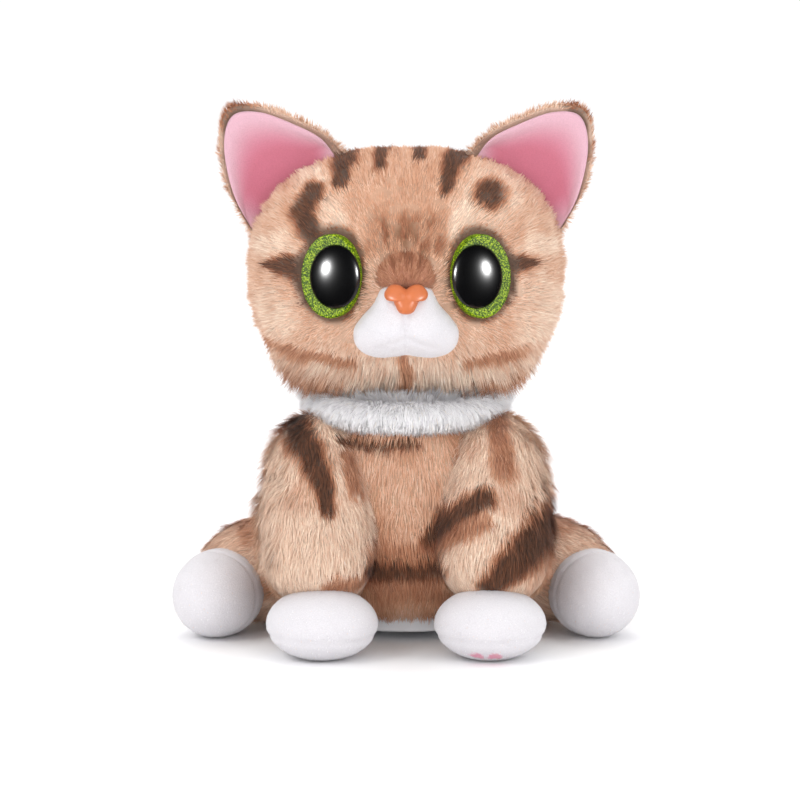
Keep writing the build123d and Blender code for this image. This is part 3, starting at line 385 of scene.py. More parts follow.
def torso_shell():
    """Return the pear-shaped torso."""
    height, centre_y, radius = along_curve(TORSO_LEVELS, 60).T
    return tube_shell(np.column_stack((np.zeros(len(height)), centre_y, height)), radius, ACROSS, DEEP, 110)


def leg_line(side):
    """Return the top of a front leg's middle line and its direction."""
    top = mirror_x(LEG_TOP, side)
    return top, unit(mirror_x(LEG_BOTTOM, side) - top)


def leg_shell(side):
    """Return one front leg."""
    top, down = leg_line(side)
    distance, radius = along_curve(LEG_LEVELS, 44).T
    return tube_shell(top + distance[:, None] * down, radius, ACROSS, np.cross(down, ACROSS), 72)


def haunch_shell(side):
    """Return one thigh, which lies on the floor beside the torso."""
    reach = ellipsoid_reach(HAUNCH_HALF, HAUNCH_TURN, side)
    points, triangles = star_shell(mirror_x(HAUNCH_CENTRE, side), reach, 44, 72)
    points[:, 2] = np.maximum(points[:, 2], 1.0)
    return facing_out((points, triangles))


def ruff_shell():
    """Return the collar of long pile round the neck."""
    turn = np.linspace(0, 2 * math.pi, 96, endpoint=False)
    outward = np.stack((np.cos(turn), np.sin(turn), np.zeros_like(turn)), axis=1)[:, None]
    section = np.linspace(0, 2 * math.pi, 20, endpoint=False)[None, :, None]
    bulge = np.cos(section) * outward + np.sin(section) * UP
    rings = RUFF_CENTRE + RUFF_RADIUS * outward + RUFF_THICKNESS * bulge
    count, around = rings.shape[:2]
    row, column = np.meshgrid(np.arange(count), np.arange(around), indexing="ij")
    first, second = row * around, ((row + 1) % count) * around
    following = (column + 1) % around
    triangles = quads(first + column, first + following, second + following, second + column)
    return facing_out((rings.reshape(-1, 3), triangles))


def tail_shell():
    """Return the tail, rounded at both ends."""
    middle = np.column_stack((along_curve(TAIL_PATH, 48), np.full(48, TAIL_Z)))
    share = np.linspace(0, 1, len(middle))
    radius = TAIL_RADIUS
    for from_end in (share, 1 - share):
        radius = radius * np.sqrt(np.clip(1 - (1 - np.clip(from_end / 0.08, 0, 1)) ** 2, 0.04, 1))
    return tube_shell(middle, radius, np.cross(unit(np.gradient(middle, axis=0)), UP), UP, 30)


# ---- making Blender objects
def plain_material(name, screen_colour, roughness=0.85, sheen=0.0, specular=0.3, coat=0.0, metallic=0.0):
    """Return a material of one colour."""
    material = bpy.data.materials.new(name)
    material.use_nodes = True
    values = {
        "Base Color": (*as_linear(screen_colour), 1.0),
        "Roughness": roughness,
        "Specular IOR Level": specular,
        "Sheen Weight": sheen,
        "Sheen Roughness": 0.5,
        "Coat Weight": coat,
        "Metallic": metallic,
    }
    for socket, value in values.items():
        material.node_tree.nodes["Principled BSDF"].inputs[socket].default_value = value
    return material


def add_node(tree, kind, **values):
    """Return a new shader node with some of its inputs set."""
    node = tree.nodes.new(f"ShaderNode{kind}")
    for socket, value in values.items():
        node.inputs[socket].default_value = value
    return node


def join(tree, source, output, target, socket):
    """Link one node's output to another node's input."""
    tree.links.new(source.outputs[output], target.inputs[socket])


def add_pattern(tree, kind, **values):
    """Return a texture node that is laid out in the piece's own coordinates."""
    pattern = add_node(tree, kind, **values)
    join(tree, add_node(tree, "TexCoord"), "Object", pattern, "Vector")
    return pattern


def add_relief(tree, height, strength):
    """Bump the surface by a noise node."""
    relief = add_node(tree, "Bump", Strength=strength, Distance=0.0006)
    join(tree, height, "Fac", relief, "Height")
    join(tree, relief, "Normal", tree.nodes["Principled BSDF"], "Normal")


def add_ramp(tree, source, output, stops):
    """Colour the surface by a node's value, through (position, linear colour) stops."""
    ramp = tree.nodes.new("ShaderNodeValToRGB")
    elements = ramp.color_ramp.elements
    elements[0].position, elements[1].position = stops[0][0], stops[-1][0]
    for position, _ in stops[1:-1]:
        elements.new(position)
    for element, (_, colour) in zip(elements, stops):
        element.color = (*colour, 1.0)
    join(tree, source, output, ramp, "Fac")
    join(tree, ramp, "Color", tree.nodes["Principled BSDF"], "Base Color")


def mottled_material(name, screen_colour, spread, scale, bump=0.0, bump_scale=None, **finish):
    """Return a material whose colour varies softly, with a fine bump if asked for."""
    material = plain_material(name, screen_colour, **finish)
    tree = material.node_tree
    noise = add_pattern(tree, "TexNoise", Scale=scale, Detail=3.0)
    colour = as_linear(screen_colour)
    darker, lighter = np.clip(colour * (1 - spread), 0, 1), np.clip(colour * (1 + spread), 0, 1)
    add_ramp(tree, noise, "Fac", [(0.3, darker), (0.7, lighter)])
    if bump:
        add_relief(tree, add_pattern(tree, "TexNoise", Scale=bump_scale, Detail=4.0), bump)
    return material


def painted_material(name, roughness=0.9, sheen=0.2, bump=0.4, bump_scale=1400.0):
    """Return a cloth material that takes its colour from the mesh's own coat colours."""
    material = plain_material(name, (200, 170, 140), roughness=roughness, sheen=sheen, specular=0.2)
    tree = material.node_tree
    coat = tree.nodes.new("ShaderNodeAttribute")
    coat.attribute_name = "coat"
    noise = add_pattern(tree, "TexNoise", Scale=bump_scale, Detail=4.0)
    spread = add_node(tree, "MapRange", **{"To Min": 0.86, "To Max": 1.12})
    shade = tree.nodes.new("ShaderNodeHueSaturation")
    join(tree, noise, "Fac", spread, "Value")
    join(tree, spread, "Result", shade, "Value")
    join(tree, coat, "Color", shade, "Color")
    join(tree, shade, "Color", tree.nodes["Principled BSDF"], "Base Color")
    add_relief(tree, noise, bump)
    return material


def add_object(name, points, faces, material, screen_colours=None):
    """Return a smooth mesh object made from points in millimetres."""
    mesh = bpy.data.meshes.new(name)
    mesh.vertices.add(len(points))
    mesh.vertices.foreach_set("co", (np.asarray(points) * MM).astype(np.float32).ravel())
    faces = np.asarray(faces)
    mesh.loops.add(faces.size)
    mesh.loops.foreach_set("vertex_index", faces.astype(np.int32).ravel())
    mesh.polygons.add(len(faces))
    mesh.polygons.foreach_set("loop_start", np.arange(0, faces.size, faces.shape[1], dtype=np.int32))
    mesh.polygons.foreach_set("use_smooth", np.ones(len(faces), bool))
    mesh.update(calc_edges=True)
    mesh.validate()
    if screen_colours is not None:
        paint = mesh.color_attributes.new("coat", "FLOAT_COLOR", "POINT")
        linear = as_linear(screen_colours)
        opaque = np.column_stack((linear, np.ones(len(linear)))).astype(np.float32)
        paint.data.foreach_set("color", opaque.ravel())
    mesh.materials.append(material)
    made = bpy.data.objects.new(name, mesh)
    bpy.context.scene.collection.objects.link(made)
    return made


def place(made, body, slot, *replaced):
    """Ride a piece on its body and hide the CAD pieces that it stands for; the slot argument is not used."""
    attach(made, body)
    if replaced:
        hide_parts(*replaced)
    return made


def arrays_of(made):
    """Return an object's points in millimetres and its triangles."""
    mesh = made.data
    mesh.calc_loop_triangles()
    points = np.empty(len(mesh.vertices) * 3)
    mesh.vertices.foreach_get("co", points)
    triangles = np.empty(len(mesh.loop_triangles) * 3, np.int32)
    mesh.loop_triangles.foreach_get("vertices", triangles)
    return points.reshape(-1, 3) / MM, triangles.reshape(-1, 3)


# ---- the coat's colours
def even(colour, points):
    """Return one colour for every point."""
    return np.tile(np.array(colour, float), (len(points), 1))


def from_segment(x, y, start, end):
    """Return each place's distance from a line segment, and its share of the way along it."""
    (x0, y0), (x1, y1) = start, end
    step_x, step_y = x1 - x0, y1 - y0
    share = np.clip(((x - x0) * step_x + (y - y0) * step_y) / (step_x**2 + step_y**2), 0.0, 1.0)
    return np.hypot(x - x0 - share * step_x, y - y0 - share * step_y), share


def mark_weight(across, up, run):
    """Return how strongly each place is covered by a mark, from 0 to 1."""
    best = np.full(len(across), 9.0)
    for first, second in zip(run, run[1:]):
        distance, share = from_segment(across, up, first[:2], second[:2])
        best = np.minimum(best, distance / (first[2] + share * (second[2] - first[2])))
    return 1.0 - smooth_step(0.5, 1.5, best)


def lay(colours, over, weight):
    """Return colours with another colour laid over them by weight."""
    return colours + (np.asarray(over, float) - colours) * weight[:, None]


def lay_marks(colours, points, marks, shown):
    """Return colours with the marks laid over them where shown is above 0."""
    wobble = 1.6 * (soft_noise(points, 5.0, 11) - 0.5)
    across, up = points[:, 0] + wobble, seen_up(points) + wobble
    for over, runs in marks.items():
        strength = 0.95 if over == DARK else 0.9
        for run in runs:
            colours = lay(colours, over, strength * shown * mark_weight(across, up, run))
    return colours


def eye_ring(points):
    """Return each point's distance from the nearer eye's middle, as a share of its outline."""
    side = np.sign(points[:, 0]) + (points[:, 0] == 0)
    flat = points * np.column_stack((side, np.ones(len(points)), np.ones(len(points))))
    offset = flat - np.array((EYE_X, EYE_CENTRE_Y, EYE_Z))
    across = offset @ np.array((math.cos(EYE_TURN), math.sin(EYE_TURN), 0.0))
    share = np.hypot(across / EYE_FOOTPRINT[0], offset[:, 2] / (EYE_FOOTPRINT[1] * math.cos(EYE_LIFT)))
    return np.where(points[:, 1] < -20.0, share, 9.0)


def head_coat(points, normals):
    """Return the head's colours."""
    front = smooth_step(0.35, -0.05, normals[:, 1])
    across, up = points[:, 0], seen_up(points)
    colours = even(BASE_COAT, points)
    streaks = soft_noise(np.column_stack((across, up, points[:, 1])), (2.2, 9.0, 9.0), 3)
    brow = smooth_step(34, 18, np.abs(across)) * smooth_step(170, 184, up)
    colours = lay(colours, FOREHEAD, 0.85 * brow * front)
    above_nose = smooth_step(20, 12, np.abs(across)) * smooth_step(157, 163, up) * smooth_step(184, 172, up)
    colours = lay(colours, NOSE_STREAK, front * above_nose * (0.35 + 0.55 * smooth_step(0.4, 0.6, streaks)))
    # painted light: the chin and jaw, which face down, are lightened to lift them out of their shade
    low = smooth_step(128, 112, up)
    colours = lay(colours, CHIN_LIFT_LIGHT, 0.9 * low)
    warm = smooth_step(0.45, 0.75, soft_noise(points, (9.0, 9.0, 3.0), 5))
    colours = lay(colours, REDDISH, 0.3 * low * warm)
    colours = lay_marks(colours, points, HEAD_MARKS, front)
    # a dark ring round each eye: partly its dark outline, partly painted shade of the recess that the eye
    # sits in
    rim = eye_ring(points)
    colours = lay(colours, EYE_RIM_SHADE, 0.85 * smooth_step(1.22, 1.05, rim))
    behind = smooth_step(0.0, 0.4, normals[:, 1]) * smooth_step(120, 150, points[:, 2])
    wavy = 3.0 * (soft_noise(points, 12.0, 21) - 0.5)
    for stripe_x in HEAD_STRIPES:
        stripe = 1 - smooth_step(2.6, 5.0, np.abs(across - stripe_x + wavy))
        colours = lay(colours, DARK, 0.85 * behind * stripe)
    return colours * (0.93 + 0.14 * streaks[:, None])


def body_coat(points, normals, base=CHEST_COAT):
    """Return the torso's colours, or a front leg's when its lighter base is given."""
    front = smooth_step(0.45, 0.05, normals[:, 1])
    colours = even(BASE_COAT, points)
    colours = lay(colours, base, front)
    patches = soft_noise(points, (14.0, 14.0, 18.0), 8)
    colours = lay(colours, PATCH, 0.35 * smooth_step(0.5, 0.75, patches))
    colours = lay(colours, CREAM, 0.5 * smooth_step(0.55, 0.3, patches))
    colours = lay_marks(colours, points, BODY_MARKS, front)
    behind = smooth_step(0.1, 0.5, normals[:, 1])
    drop = 0.18 * np.abs(points[:, 0])
    for band_z in BACK_BANDS:
        band = 1 - smooth_step(2.8, 5.6, np.abs(points[:, 2] - band_z + drop + 4.0 * (patches - 0.5)))
        away = smooth_step(9.0, 14.0, np.abs(points[:, 0]))
        colours = lay(colours, DARK, 0.8 * behind * band * away)
    spine = 1 - smooth_step(3.0, 6.0, np.abs(points[:, 0] + 3.0 * (patches - 0.5)))
    return lay(colours, DARK, 0.8 * behind * spine)


def leg_coat(points, normals):
    """Return a front leg's colours."""
    return body_coat(points, normals, LEG_COAT)


def haunch_coat(points, normals):
    """Return a hind leg's colours."""
    colours = even(HAUNCH_COAT, points)
    patches = soft_noise(points, 11.0, 9)
    colours = lay(colours, REDDISH, 0.55 * smooth_step(0.45, 0.75, patches))
    along = np.abs(points[:, 0]) * 0.8 - points[:, 1] * 0.6
    shown = smooth_step(0.0, 0.6, normals[:, 1] + 0.2 * normals[:, 2])
    for band in THIGH_BANDS:
        stripe = 1 - smooth_step(2.4, 5.0, np.abs(along - band + 5.0 * (patches - 0.5)))
        colours = lay(colours, DARK, 0.65 * stripe * shown)
    return colours


def ear_coat(points, normals):
    """Return the backs of the ears, darker at the tip and along the outer edge."""
    colours = even(EAR_COAT, points)
    tip = smooth_step(20.0, 5.0, np.hypot(np.abs(points[:, 0]) - 77.0, points[:, 2] - 229.0))
    edge = smooth_step(4.0, 1.0, np.abs(np.abs(points[:, 0]) - 79.0))
    dark = np.maximum(tip, 0.4 * edge * smooth_step(190.0, 206.0, points[:, 2]))
    return lay(colours, DARK, 0.6 * dark * smooth_step(0.3, 0.6, soft_noise(points, 4.0, 4)))


def tail_coat(points, normals):
    """Return the tail's colours: banded, with a dark tip."""
    colours = even(BASE_COAT, points)
    for band_x in TAIL_BANDS:
        colours = lay(colours, DARK, 0.75 * (1 - smooth_step(2.0, 4.5, np.abs(points[:, 0] - band_x))))
    return lay(colours, DARK, 0.8 * smooth_step(66.0, 72.0, points[:, 0]))


def white_coat(points, normals):
    """Return the white of the muzzle, paws and feet."""
    return even(WHITE, points)


def ruff_coat(points, normals):
    """Return the ruff's white, brighter than the muzzle's: partly its own white, partly painted light against
    the head's shade over it.
    """
    return even(RUFF_LIFTED_WHITE, points)


# ---- fur
fur_materials = {}


def fur_material(index):
    """Return the fur material of one palette colour, made when it is first needed."""
    if index not in fur_materials:
        name = PALETTE_NAMES[index]
        finish = {"roughness": 0.8, "sheen": 0.1, "specular": 0.1}
        fur_materials[index] = plain_material(f"fur_{name}", PALETTE[name], **finish)
    return fur_materials[index]


def scatter(shell, density, random):
    """Return places spread evenly over a shell, with their normals."""
    points, triangles = shell
    normals = outward_normals(points, triangles)
    corners = points[triangles]
    edges = corners[:, 1:] - corners[:, :1]
    area = 0.5 * np.linalg.norm(np.cross(edges[:, 0], edges[:, 1]), axis=1)
    count = int(area.sum() * density)
    chosen = random.choice(len(triangles), count, p=area / area.sum())
    share = random.random((count, 2))
    flip = share.sum(axis=1) > 1
    share[flip] = 1 - share[flip]
    weights = np.column_stack((1 - share.sum(axis=1), share))
    places = np.einsum("ij,ijk->ik", weights, corners[chosen])
    return places, unit(np.einsum("ij,ijk->ik", weights, normals[triangles[chosen]]))


def strand_arrays(places, normals, comb, lean, length, width, tuft, random):
    """Return the points and triangles of flat, tapering strands."""
    count = len(places)
    wander = np.column_stack([soft_noise(places, tuft, seed) - 0.5 for seed in (31, 32, 33)])
    wander = 1.3 * wander + 0.14 * random.standard_normal((count, 3))
    flat = unit(comb - np.einsum("ij,ij->i", comb, normals)[:, None] * normals)
    first = unit(normals * (1 - lean)[:, None] + flat * lean[:, None] + wander * 0.42)
    second = unit(first + 0.45 * flat + 0.2 * wander - np.array((0.0, 0.0, 0.1)))
    side = unit(np.cross(first, normals) + 1e-4 * random.standard_normal((count, 3)))
    root = places - 0.4 * normals
    middle = root + 0.55 * length[:, None] * first
    tip = middle + 0.5 * length[:, None] * second
    reach = side * width
    points = np.stack((root - reach, root + reach, middle - 0.8 * reach, middle + 0.8 * reach, tip), axis=1)
    corners = np.array([(0, 1, 3), (0, 3, 2), (2, 3, 4)])
    triangles = np.arange(count)[:, None, None] * 5 + corners
    return points.reshape(-1, 3), triangles.reshape(-1, 3)


def palette_index(colours, random):
    """Return the palette colour for each strand, varied a little so that the coat blends."""
    wanted = colours + PALETTE_JITTER[0] * random.standard_normal((len(colours), 1))
    wanted = wanted + PALETTE_JITTER[1] * random.standard_normal(colours.shape)
    distance = ((wanted[:, None, :] - PALETTE_VALUES[None]) ** 2).sum(axis=2)
    return distance.argmin(axis=1)


def grow_fur(name, body, slot, shell, density, style):
    """Return a piece of fur rooted on a shell. Style says where it grows, how it lies and its colour."""
    random = np.random.default_rng(FUR_SEED + len(name))
    places, normals = scatter(shell, density * (1.0), random)
    look = style(places, normals)
    keep = look["keep"]
    comb = np.broadcast_to(look["comb"], places.shape)[keep]
    lean, length = (np.broadcast_to(look[key], len(places))[keep] for key in ("lean", "length"))
    places, normals = places[keep], normals[keep]
    count = len(places)
    length = length * random.uniform(0.62, 1.3, count)
    width = look.get("width", FUR_WIDTH) * 1.0
    tuft = look.get("tuft", 3.6)
    points, triangles = strand_arrays(places, normals, comb, lean, length, width, tuft, random)
    points[:, 2] = np.maximum(points[:, 2], FLOOR_GAP)
    chosen = palette_index(look["colour"][keep], random)
    used = np.unique(chosen)
    made = add_object(name, points, triangles, fur_material(used[0]))
    for index in used[1:]:
        made.data.materials.append(fur_material(index))
    slots = np.searchsorted(used, chosen)
    made.data.polygons.foreach_set("material_index", np.repeat(slots, 3).astype(np.int32))
    soft = unit(np.repeat(normals, 5, axis=0) + 0.25 * random.standard_normal((count * 5, 3)))
    made.data.normals_split_custom_set_from_vertices(soft)
    return place(made, body, slot)


# ---- how each part's fur lies
def inside_head(points, grow):
    """Return whether points are inside the head made larger by grow millimetres."""
    offsets = points - HEAD_CENTRE
    distance = np.linalg.norm(offsets, axis=1)
    return distance < head_reach(unit(offsets)) + grow


def inside_torso(points):
    """Return whether points are inside the torso."""
    centre_y = np.interp(points[:, 2], TORSO_LEVELS[:, 0], TORSO_LEVELS[:, 1])
    radius = np.interp(points[:, 2], TORSO_LEVELS[:, 0], TORSO_LEVELS[:, 2], left=0, right=0)
    return np.hypot(points[:, 0], points[:, 1] - centre_y) < radius - 1.5


def inside_leg(points, side):
    """Return whether points are inside a front leg."""
    top, down = leg_line(side)
    along = (points - top) @ down
    away = np.linalg.norm(points - top - along[:, None] * down, axis=1)
    return away < np.interp(along, LEG_LEVELS[:, 0], LEG_LEVELS[:, 1], left=0, right=0) - 1.5


def inside_blob(points, centre, half, turn, side):
    """Return whether points are inside one paw, foot or thigh."""
    offsets = points - mirror_x(centre, side)
    distance = np.linalg.norm(offsets, axis=1)
    return distance < ellipsoid_reach(half, turn, side)(unit(offsets)) - 0.6


def in_muzzle(points):
    """Return whether points on the head are covered by the muzzle, nose or bridge panel."""
    across, up = np.abs(points[:, 0]), points[:, 2]
    muzzle = np.hypot(across / 21.5, (up - 141.0) / 12.5) < 1
    upper = (across < 10.5) & (up > 141.0) & (up < 171.5)
    return (points[:, 1] < -30.0) & (muzzle | upper)


def head_style(points, normals):
    """Return how the head's fur lies: away from the nose, longer on the cheeks."""
    comb = unit(points - np.array((0.0, -78.0, 152.0)))
    comb = comb - 0.8 * smooth_step(150, 115, points[:, 2])[:, None] * UP
    behind = smooth_step(0.0, 0.5, normals[:, 1])
    comb = comb - 1.2 * behind[:, None] * UP
    cheek = smooth_step(40.0, 62.0, np.abs(points[:, 0])) + smooth_step(132.0, 112.0, points[:, 2])
    top = smooth_step(196.0, 208.0, points[:, 2])
    chin = smooth_step(130.0, 114.0, points[:, 2])
    length = 3.6 + 1.9 * np.clip(cheek, 0, 1) + 1.4 * top + 6.0 * chin
    rim = eye_ring(points)
    length = length * (0.55 + 0.45 * smooth_step(1.02, 1.35, rim))
    underneath = np.hypot(points[:, 0], points[:, 1] - HEAD_CENTRE[1]) < 21.0
    return {
        "keep": (rim > 0.99) & ~in_muzzle(points) & ~(underneath & (points[:, 2] < 120.0)),
        "comb": comb,
        "lean": 0.74 - 0.12 * np.clip(cheek, 0, 1) - 0.4 * smooth_step(-0.35, -0.85, normals[:, 2]),
        "length": length,
        "colour": head_coat(points, normals),
    }


def torso_style(points, normals):
    """Return how the torso's fur lies: downwards."""
    hidden = inside_head(points, 0.0) | (points[:, 2] < 12.0)
    for side in SIDES.values():
        hidden |= inside_leg(points, side)
        hidden |= inside_blob(points, HAUNCH_CENTRE, HAUNCH_HALF, HAUNCH_TURN, side)
    return {
        "keep": ~hidden & (points[:, 2] < 103.0),
        "comb": -UP,
        "lean": 0.72,
        "length": 5.8,
        "colour": body_coat(points, normals),
        "tuft": 4.6,
    }


def leg_style(side):
    """Return the style of one front leg."""

    def style(points, normals):
        paw = inside_blob(points, PAW_CENTRE + np.array((0.0, 0.0, 1.5)), PAW_HALF, 0.0, side)
        hidden = inside_torso(points) | inside_head(points, 0.0) | paw | inside_leg(points, -side)
        _, down = leg_line(side)
        near_paw = smooth_step(44.0, 32.0, points[:, 2])
        outer = smooth_step(0.2, 0.8, side * normals[:, 0])
        return {
            "keep": ~hidden,
            "comb": down - 0.2 * normals * near_paw[:, None],
            "lean": 0.68 - 0.06 * outer,
            "length": (6.2 + 1.8 * outer) * (1 - 0.5 * near_paw),
            "colour": leg_coat(points, normals),
            "tuft": 4.4,
        }

    return style


def haunch_style(side):
    """Return the style of one thigh."""
    towards = np.array((side * math.cos(HAUNCH_TURN), math.sin(HAUNCH_TURN), -0.35))

    def style(points, normals):
        foot = inside_blob(points, FOOT_CENTRE, FOOT_HALF, FOOT_TURN, side)
        return {
            "keep": ~inside_torso(points) & ~foot & (points[:, 2] > 2.0) & ~inside_leg(points, side),
            "comb": towards,
            "lean": 0.74,
            "length": 5.4,
            "colour": haunch_coat(points, normals),
            "tuft": 4.2,
        }

    return style


def ruff_style(points, normals):
    """Return the ruff's style: long white pile, outwards and a little down."""
    outward = unit((points - RUFF_CENTRE) * np.array((1.0, 1.0, 0.0)))
    inner = np.einsum("ij,ij->i", normals, outward) < -0.8
    return {
        "keep": ~inner & ~inside_head(points, 0.5),
        "comb": outward - 0.8 * UP * smooth_step(0.6, -0.2, normals[:, 2])[:, None],
        "lean": 0.5,
        "length": 4.2 + 1.8 * smooth_step(0.2, 0.8, normals[:, 2]),
        "colour": ruff_coat(points, normals),
        "tuft": 2.6,
        "width": 0.13,
    }


def tail_style(points, normals):
    """Return the tail's style: towards its tip."""
    return {
        "keep": ~inside_torso(points) & (points[:, 2] > 1.2),
        "comb": (1.0, -0.1, -0.1),
        "lean": 0.72,
        "length": 5.0,
        "colour": tail_coat(points, normals),
    }


def inside_outline(points, outline, side):
    """Return whether points lie inside an ear outline as seen from the front."""
    edge = along_curve(outline, 60)
    x, z = side * points[:, 0], points[:, 2]
    crossings = np.zeros(len(points), int)
    for (x0, z0), (x1, z1) in zip(edge, np.roll(edge, -1, axis=0)):
        spans = (z0 > z) != (z1 > z)
        slope = (x1 - x0) / (z1 - z0) if z1 != z0 else 0.0
        crossings += spans & (x < x0 + slope * (z - z0))
    return crossings % 2 == 1


def ear_style(side):
    """Return the style of the back and the rim of one ear."""

    def style(points, normals):
        root = mirror_x(np.array((52.0, 0.0, 186.0)), side)
        comb = unit((points - root) * np.array((1.0, 0.3, 1.0)))
        lined = inside_outline(points, LINING_OUTLINE, side) & (normals[:, 1] < 0.3)
        return {
            "keep": ~inside_head(points, -0.5) & ~lined,
            "comb": comb,
            "lean": 0.72,
            "length": np.where(normals[:, 1] > 0.3, 4.2, 2.8),
            "colour": ear_coat(points, normals),
            "width": 0.14,
        }

    return style


def fuzz_style(length, colour_of):
    """Return the style of very short pile, such as a paw's."""

    def style(points, normals):
        return {
            "keep": points[:, 2] > 0.6,
            "comb": -UP,
            "lean": 0.62,
            "length": length,
            "colour": colour_of(points, normals),
            "width": 0.12,
            "tuft": 2.0,
        }

    return style


def paint(shell, coat, shade=0.86):
    """Return the colours of the cloth under the fur, a little darker than the fur: painted shade of the gaps
    between the strands.
    """
    return np.clip(coat(shell[0], outward_normals(*shell)) * shade, 0, 255)


# ---- covered parts
pile_cloth = painted_material("pile_cloth")
minky_cloth = painted_material("minky_cloth", roughness=0.95, sheen=0.35, bump=0.5, bump_scale=1800.0)


def furry_part(name, body, shell, coat, style, density, nodes, slot="tan_plush"):
    """Return a covered part's cloth skin, after growing the fur on it."""
    skin = add_object(f"{name}_skin", *shell, pile_cloth, paint(shell, coat))
    grow_fur(f"{name}_fur", body, slot, shell, density, style)
    return place(skin, body, slot, *nodes)


def build_head():
    """Make the head in two halves of fur over one skin."""
    shell = facing_out(star_shell(HEAD_CENTRE, head_reach, 90, 140))
    skin = add_object("head_skin", *shell, pile_cloth, paint(shell, head_coat))
    place(skin, "head", "tan_plush", "head_cover", "head_stuffing")
    for part, low, high, density in (("front", -99.0, -22.0, 3.1), ("back", -22.0, 99.0, 2.2)):

        def style(points, normals, low=low, high=high):
            look = head_style(points, normals)
            look["keep"] = look["keep"] & (points[:, 1] >= low) & (points[:, 1] < high)
            return look

        grow_fur(f"head_fur_{part}", "head", "tan_plush", shell, density, style)


def build_body():
    """Make the torso, legs, thighs, tail and ruff."""
    nodes = ["torso_cover", "torso_stuffing"]
    skin = furry_part("torso", "torso", torso_shell(), body_coat, torso_style, 2.0, nodes)
    limbs = (
        ("front", leg_shell, leg_coat, leg_style, 2.5),
        ("hind", haunch_shell, haunch_coat, haunch_style, 2.2),
    )
    for side_name, side in SIDES.items():
        for limb, shell_of, coat, style_of, density in limbs:
            name = f"{limb}_leg_{side_name}"
            nodes = [name, f"{limb}_limb_stuffing_{side_name}"]
            skin = furry_part(f"{name}_soft", "torso", shell_of(side), coat, style_of(side), density, nodes)
    furry_part("tail_soft", "tail", tail_shell(), tail_coat, tail_style, 2.0, ["tail"])
    furry_part("ruff", "torso", ruff_shell(), ruff_coat, ruff_style, 6.0, ["neck_ruff"], "white_plush")


# ---- ears
def grid_triangles(rows, columns):
    """Return the triangles of an open sheet of rows and columns of points."""
    row, column = np.meshgrid(np.arange(rows - 1), np.arange(columns - 1), indexing="ij")
    a = row * columns + column
    return quads(a, a + 1, a + columns + 1, a + columns)


def fan_sheet(outline, side, lift_of, rows, columns):
    """Return an open sheet between a straight base line and an outline, with its height given by lift_of."""
    edge = along_curve(outline, columns)
    start, end = edge[0], edge[-1]
    base = start + np.linspace(0, 1, columns)[:, None] * (end - start)
    share = np.linspace(0, 1, rows)[:, None, None]
    flat = base[None] + share * (edge[None] - base[None])
    across_share = np.linspace(0, 1, columns)[None, :]
    rim = np.maximum(share[:, :, 0], np.abs(2 * across_share - 1))
    depth = lift_of(np.broadcast_to(rim, flat.shape[:2]))
    points = np.stack((side * flat[..., 0], depth, flat[..., 1]), axis=-1).reshape(-1, 3)
    return points, grid_triangles(rows, columns), np.broadcast_to(rim, flat.shape[:2]).ravel()


def closed_sheet(front, back, triangles, rows, columns):
    """Return one closed shell between a front and a back sheet of the same layout."""
    count = len(front)
    ring = np.concatenate(
        (
            np.arange(columns),
            np.arange(1, rows) * columns + columns - 1,
            (rows - 1) * columns + np.arange(columns - 2, -1, -1),
            np.arange(rows - 2, 0, -1) * columns,
        )
    )
    following = np.roll(ring, -1)
    wall = quads(ring, following, following + count, ring + count)
    faces = np.vstack((triangles[:, ::-1], triangles + count, wall))
    return facing_out((np.vstack((front, back)), faces))


def build_ear(side_name, side):
    """Make one ear: a furry back and a cupped lining whose hollow is painted a deeper rose as shade, paler
    towards its folded rim.
    """
    rows, columns = 26, 60
    back, triangles, _ = fan_sheet(EAR_OUTLINE, side, lambda rim: 3.5 - 5.0 * rim**3, rows, columns)
    inner, _, _ = fan_sheet(EAR_OUTLINE, side, lambda rim: 0.2 - 4.0 * rim**3, rows, columns)
    shell = closed_sheet(inner, back, triangles, rows, columns)
    name = f"ear_{side_name}"
    furry_part(name, "head", shell, ear_coat, ear_style(side), 3.0, [f"{name}_back"])

    def cup(rim):
        fold = np.exp(-(((rim - 0.9) / 0.12) ** 2))
        return -0.9 - 4.2 * rim**2.2 - 1.1 * fold

    front, triangles, rim = fan_sheet(LINING_OUTLINE, side, cup, rows, columns)
    behind = front + 1.1 * DEEP
    lining = closed_sheet(front, behind, triangles, rows, columns)
    # painted shade: the lining's hollow is a deeper rose, paling towards its folded rim
    shades = lay(even(LINING_HOLLOW_SHADE, rim), LINING_RIM, smooth_step(0.5, 0.92, rim))
    velour = add_object(f"{name}_velour", *lining, minky_cloth, np.vstack((shades, shades)))
    place(velour, "head", "pink_velour", f"{name}_lining")


# ---- muzzle, nose and bridge
def pillow(half_outline, centre, seat_of, swell, rings=26, edge_power=2.4):
    """Return a closed pad over a mirrored outline, seated on the head and swelling towards the front."""
    left = np.array(half_outline)
    right = left[1:-1][::-1] * np.array((-1.0, 1.0))
    around = along_curve(np.vstack((left, right, left[:1])), 97)[:-1]
    share = np.sin(np.linspace(0, math.pi / 2, rings))[::-1]
    flat = np.asarray(centre) + share[:, None, None] * (around[None] - np.asarray(centre))
    dome = np.clip(1 - share**edge_power, 0, 1) ** 0.5
    seat = seat_of(flat[..., 0].ravel(), flat[..., 1].ravel()).reshape(flat.shape[:2])
    rise = swell(flat[..., 0], flat[..., 1]) * dome[:, None]
    front = np.stack((flat[..., 0], seat + 1.0 - rise, flat[..., 1]), axis=-1)
    back = np.stack((flat[0, :, 0], seat[0] + 3.0, flat[0, :, 1]), axis=-1)[None]
    return facing_out(shell_from_rings(np.vstack((back, front))[:-1]))


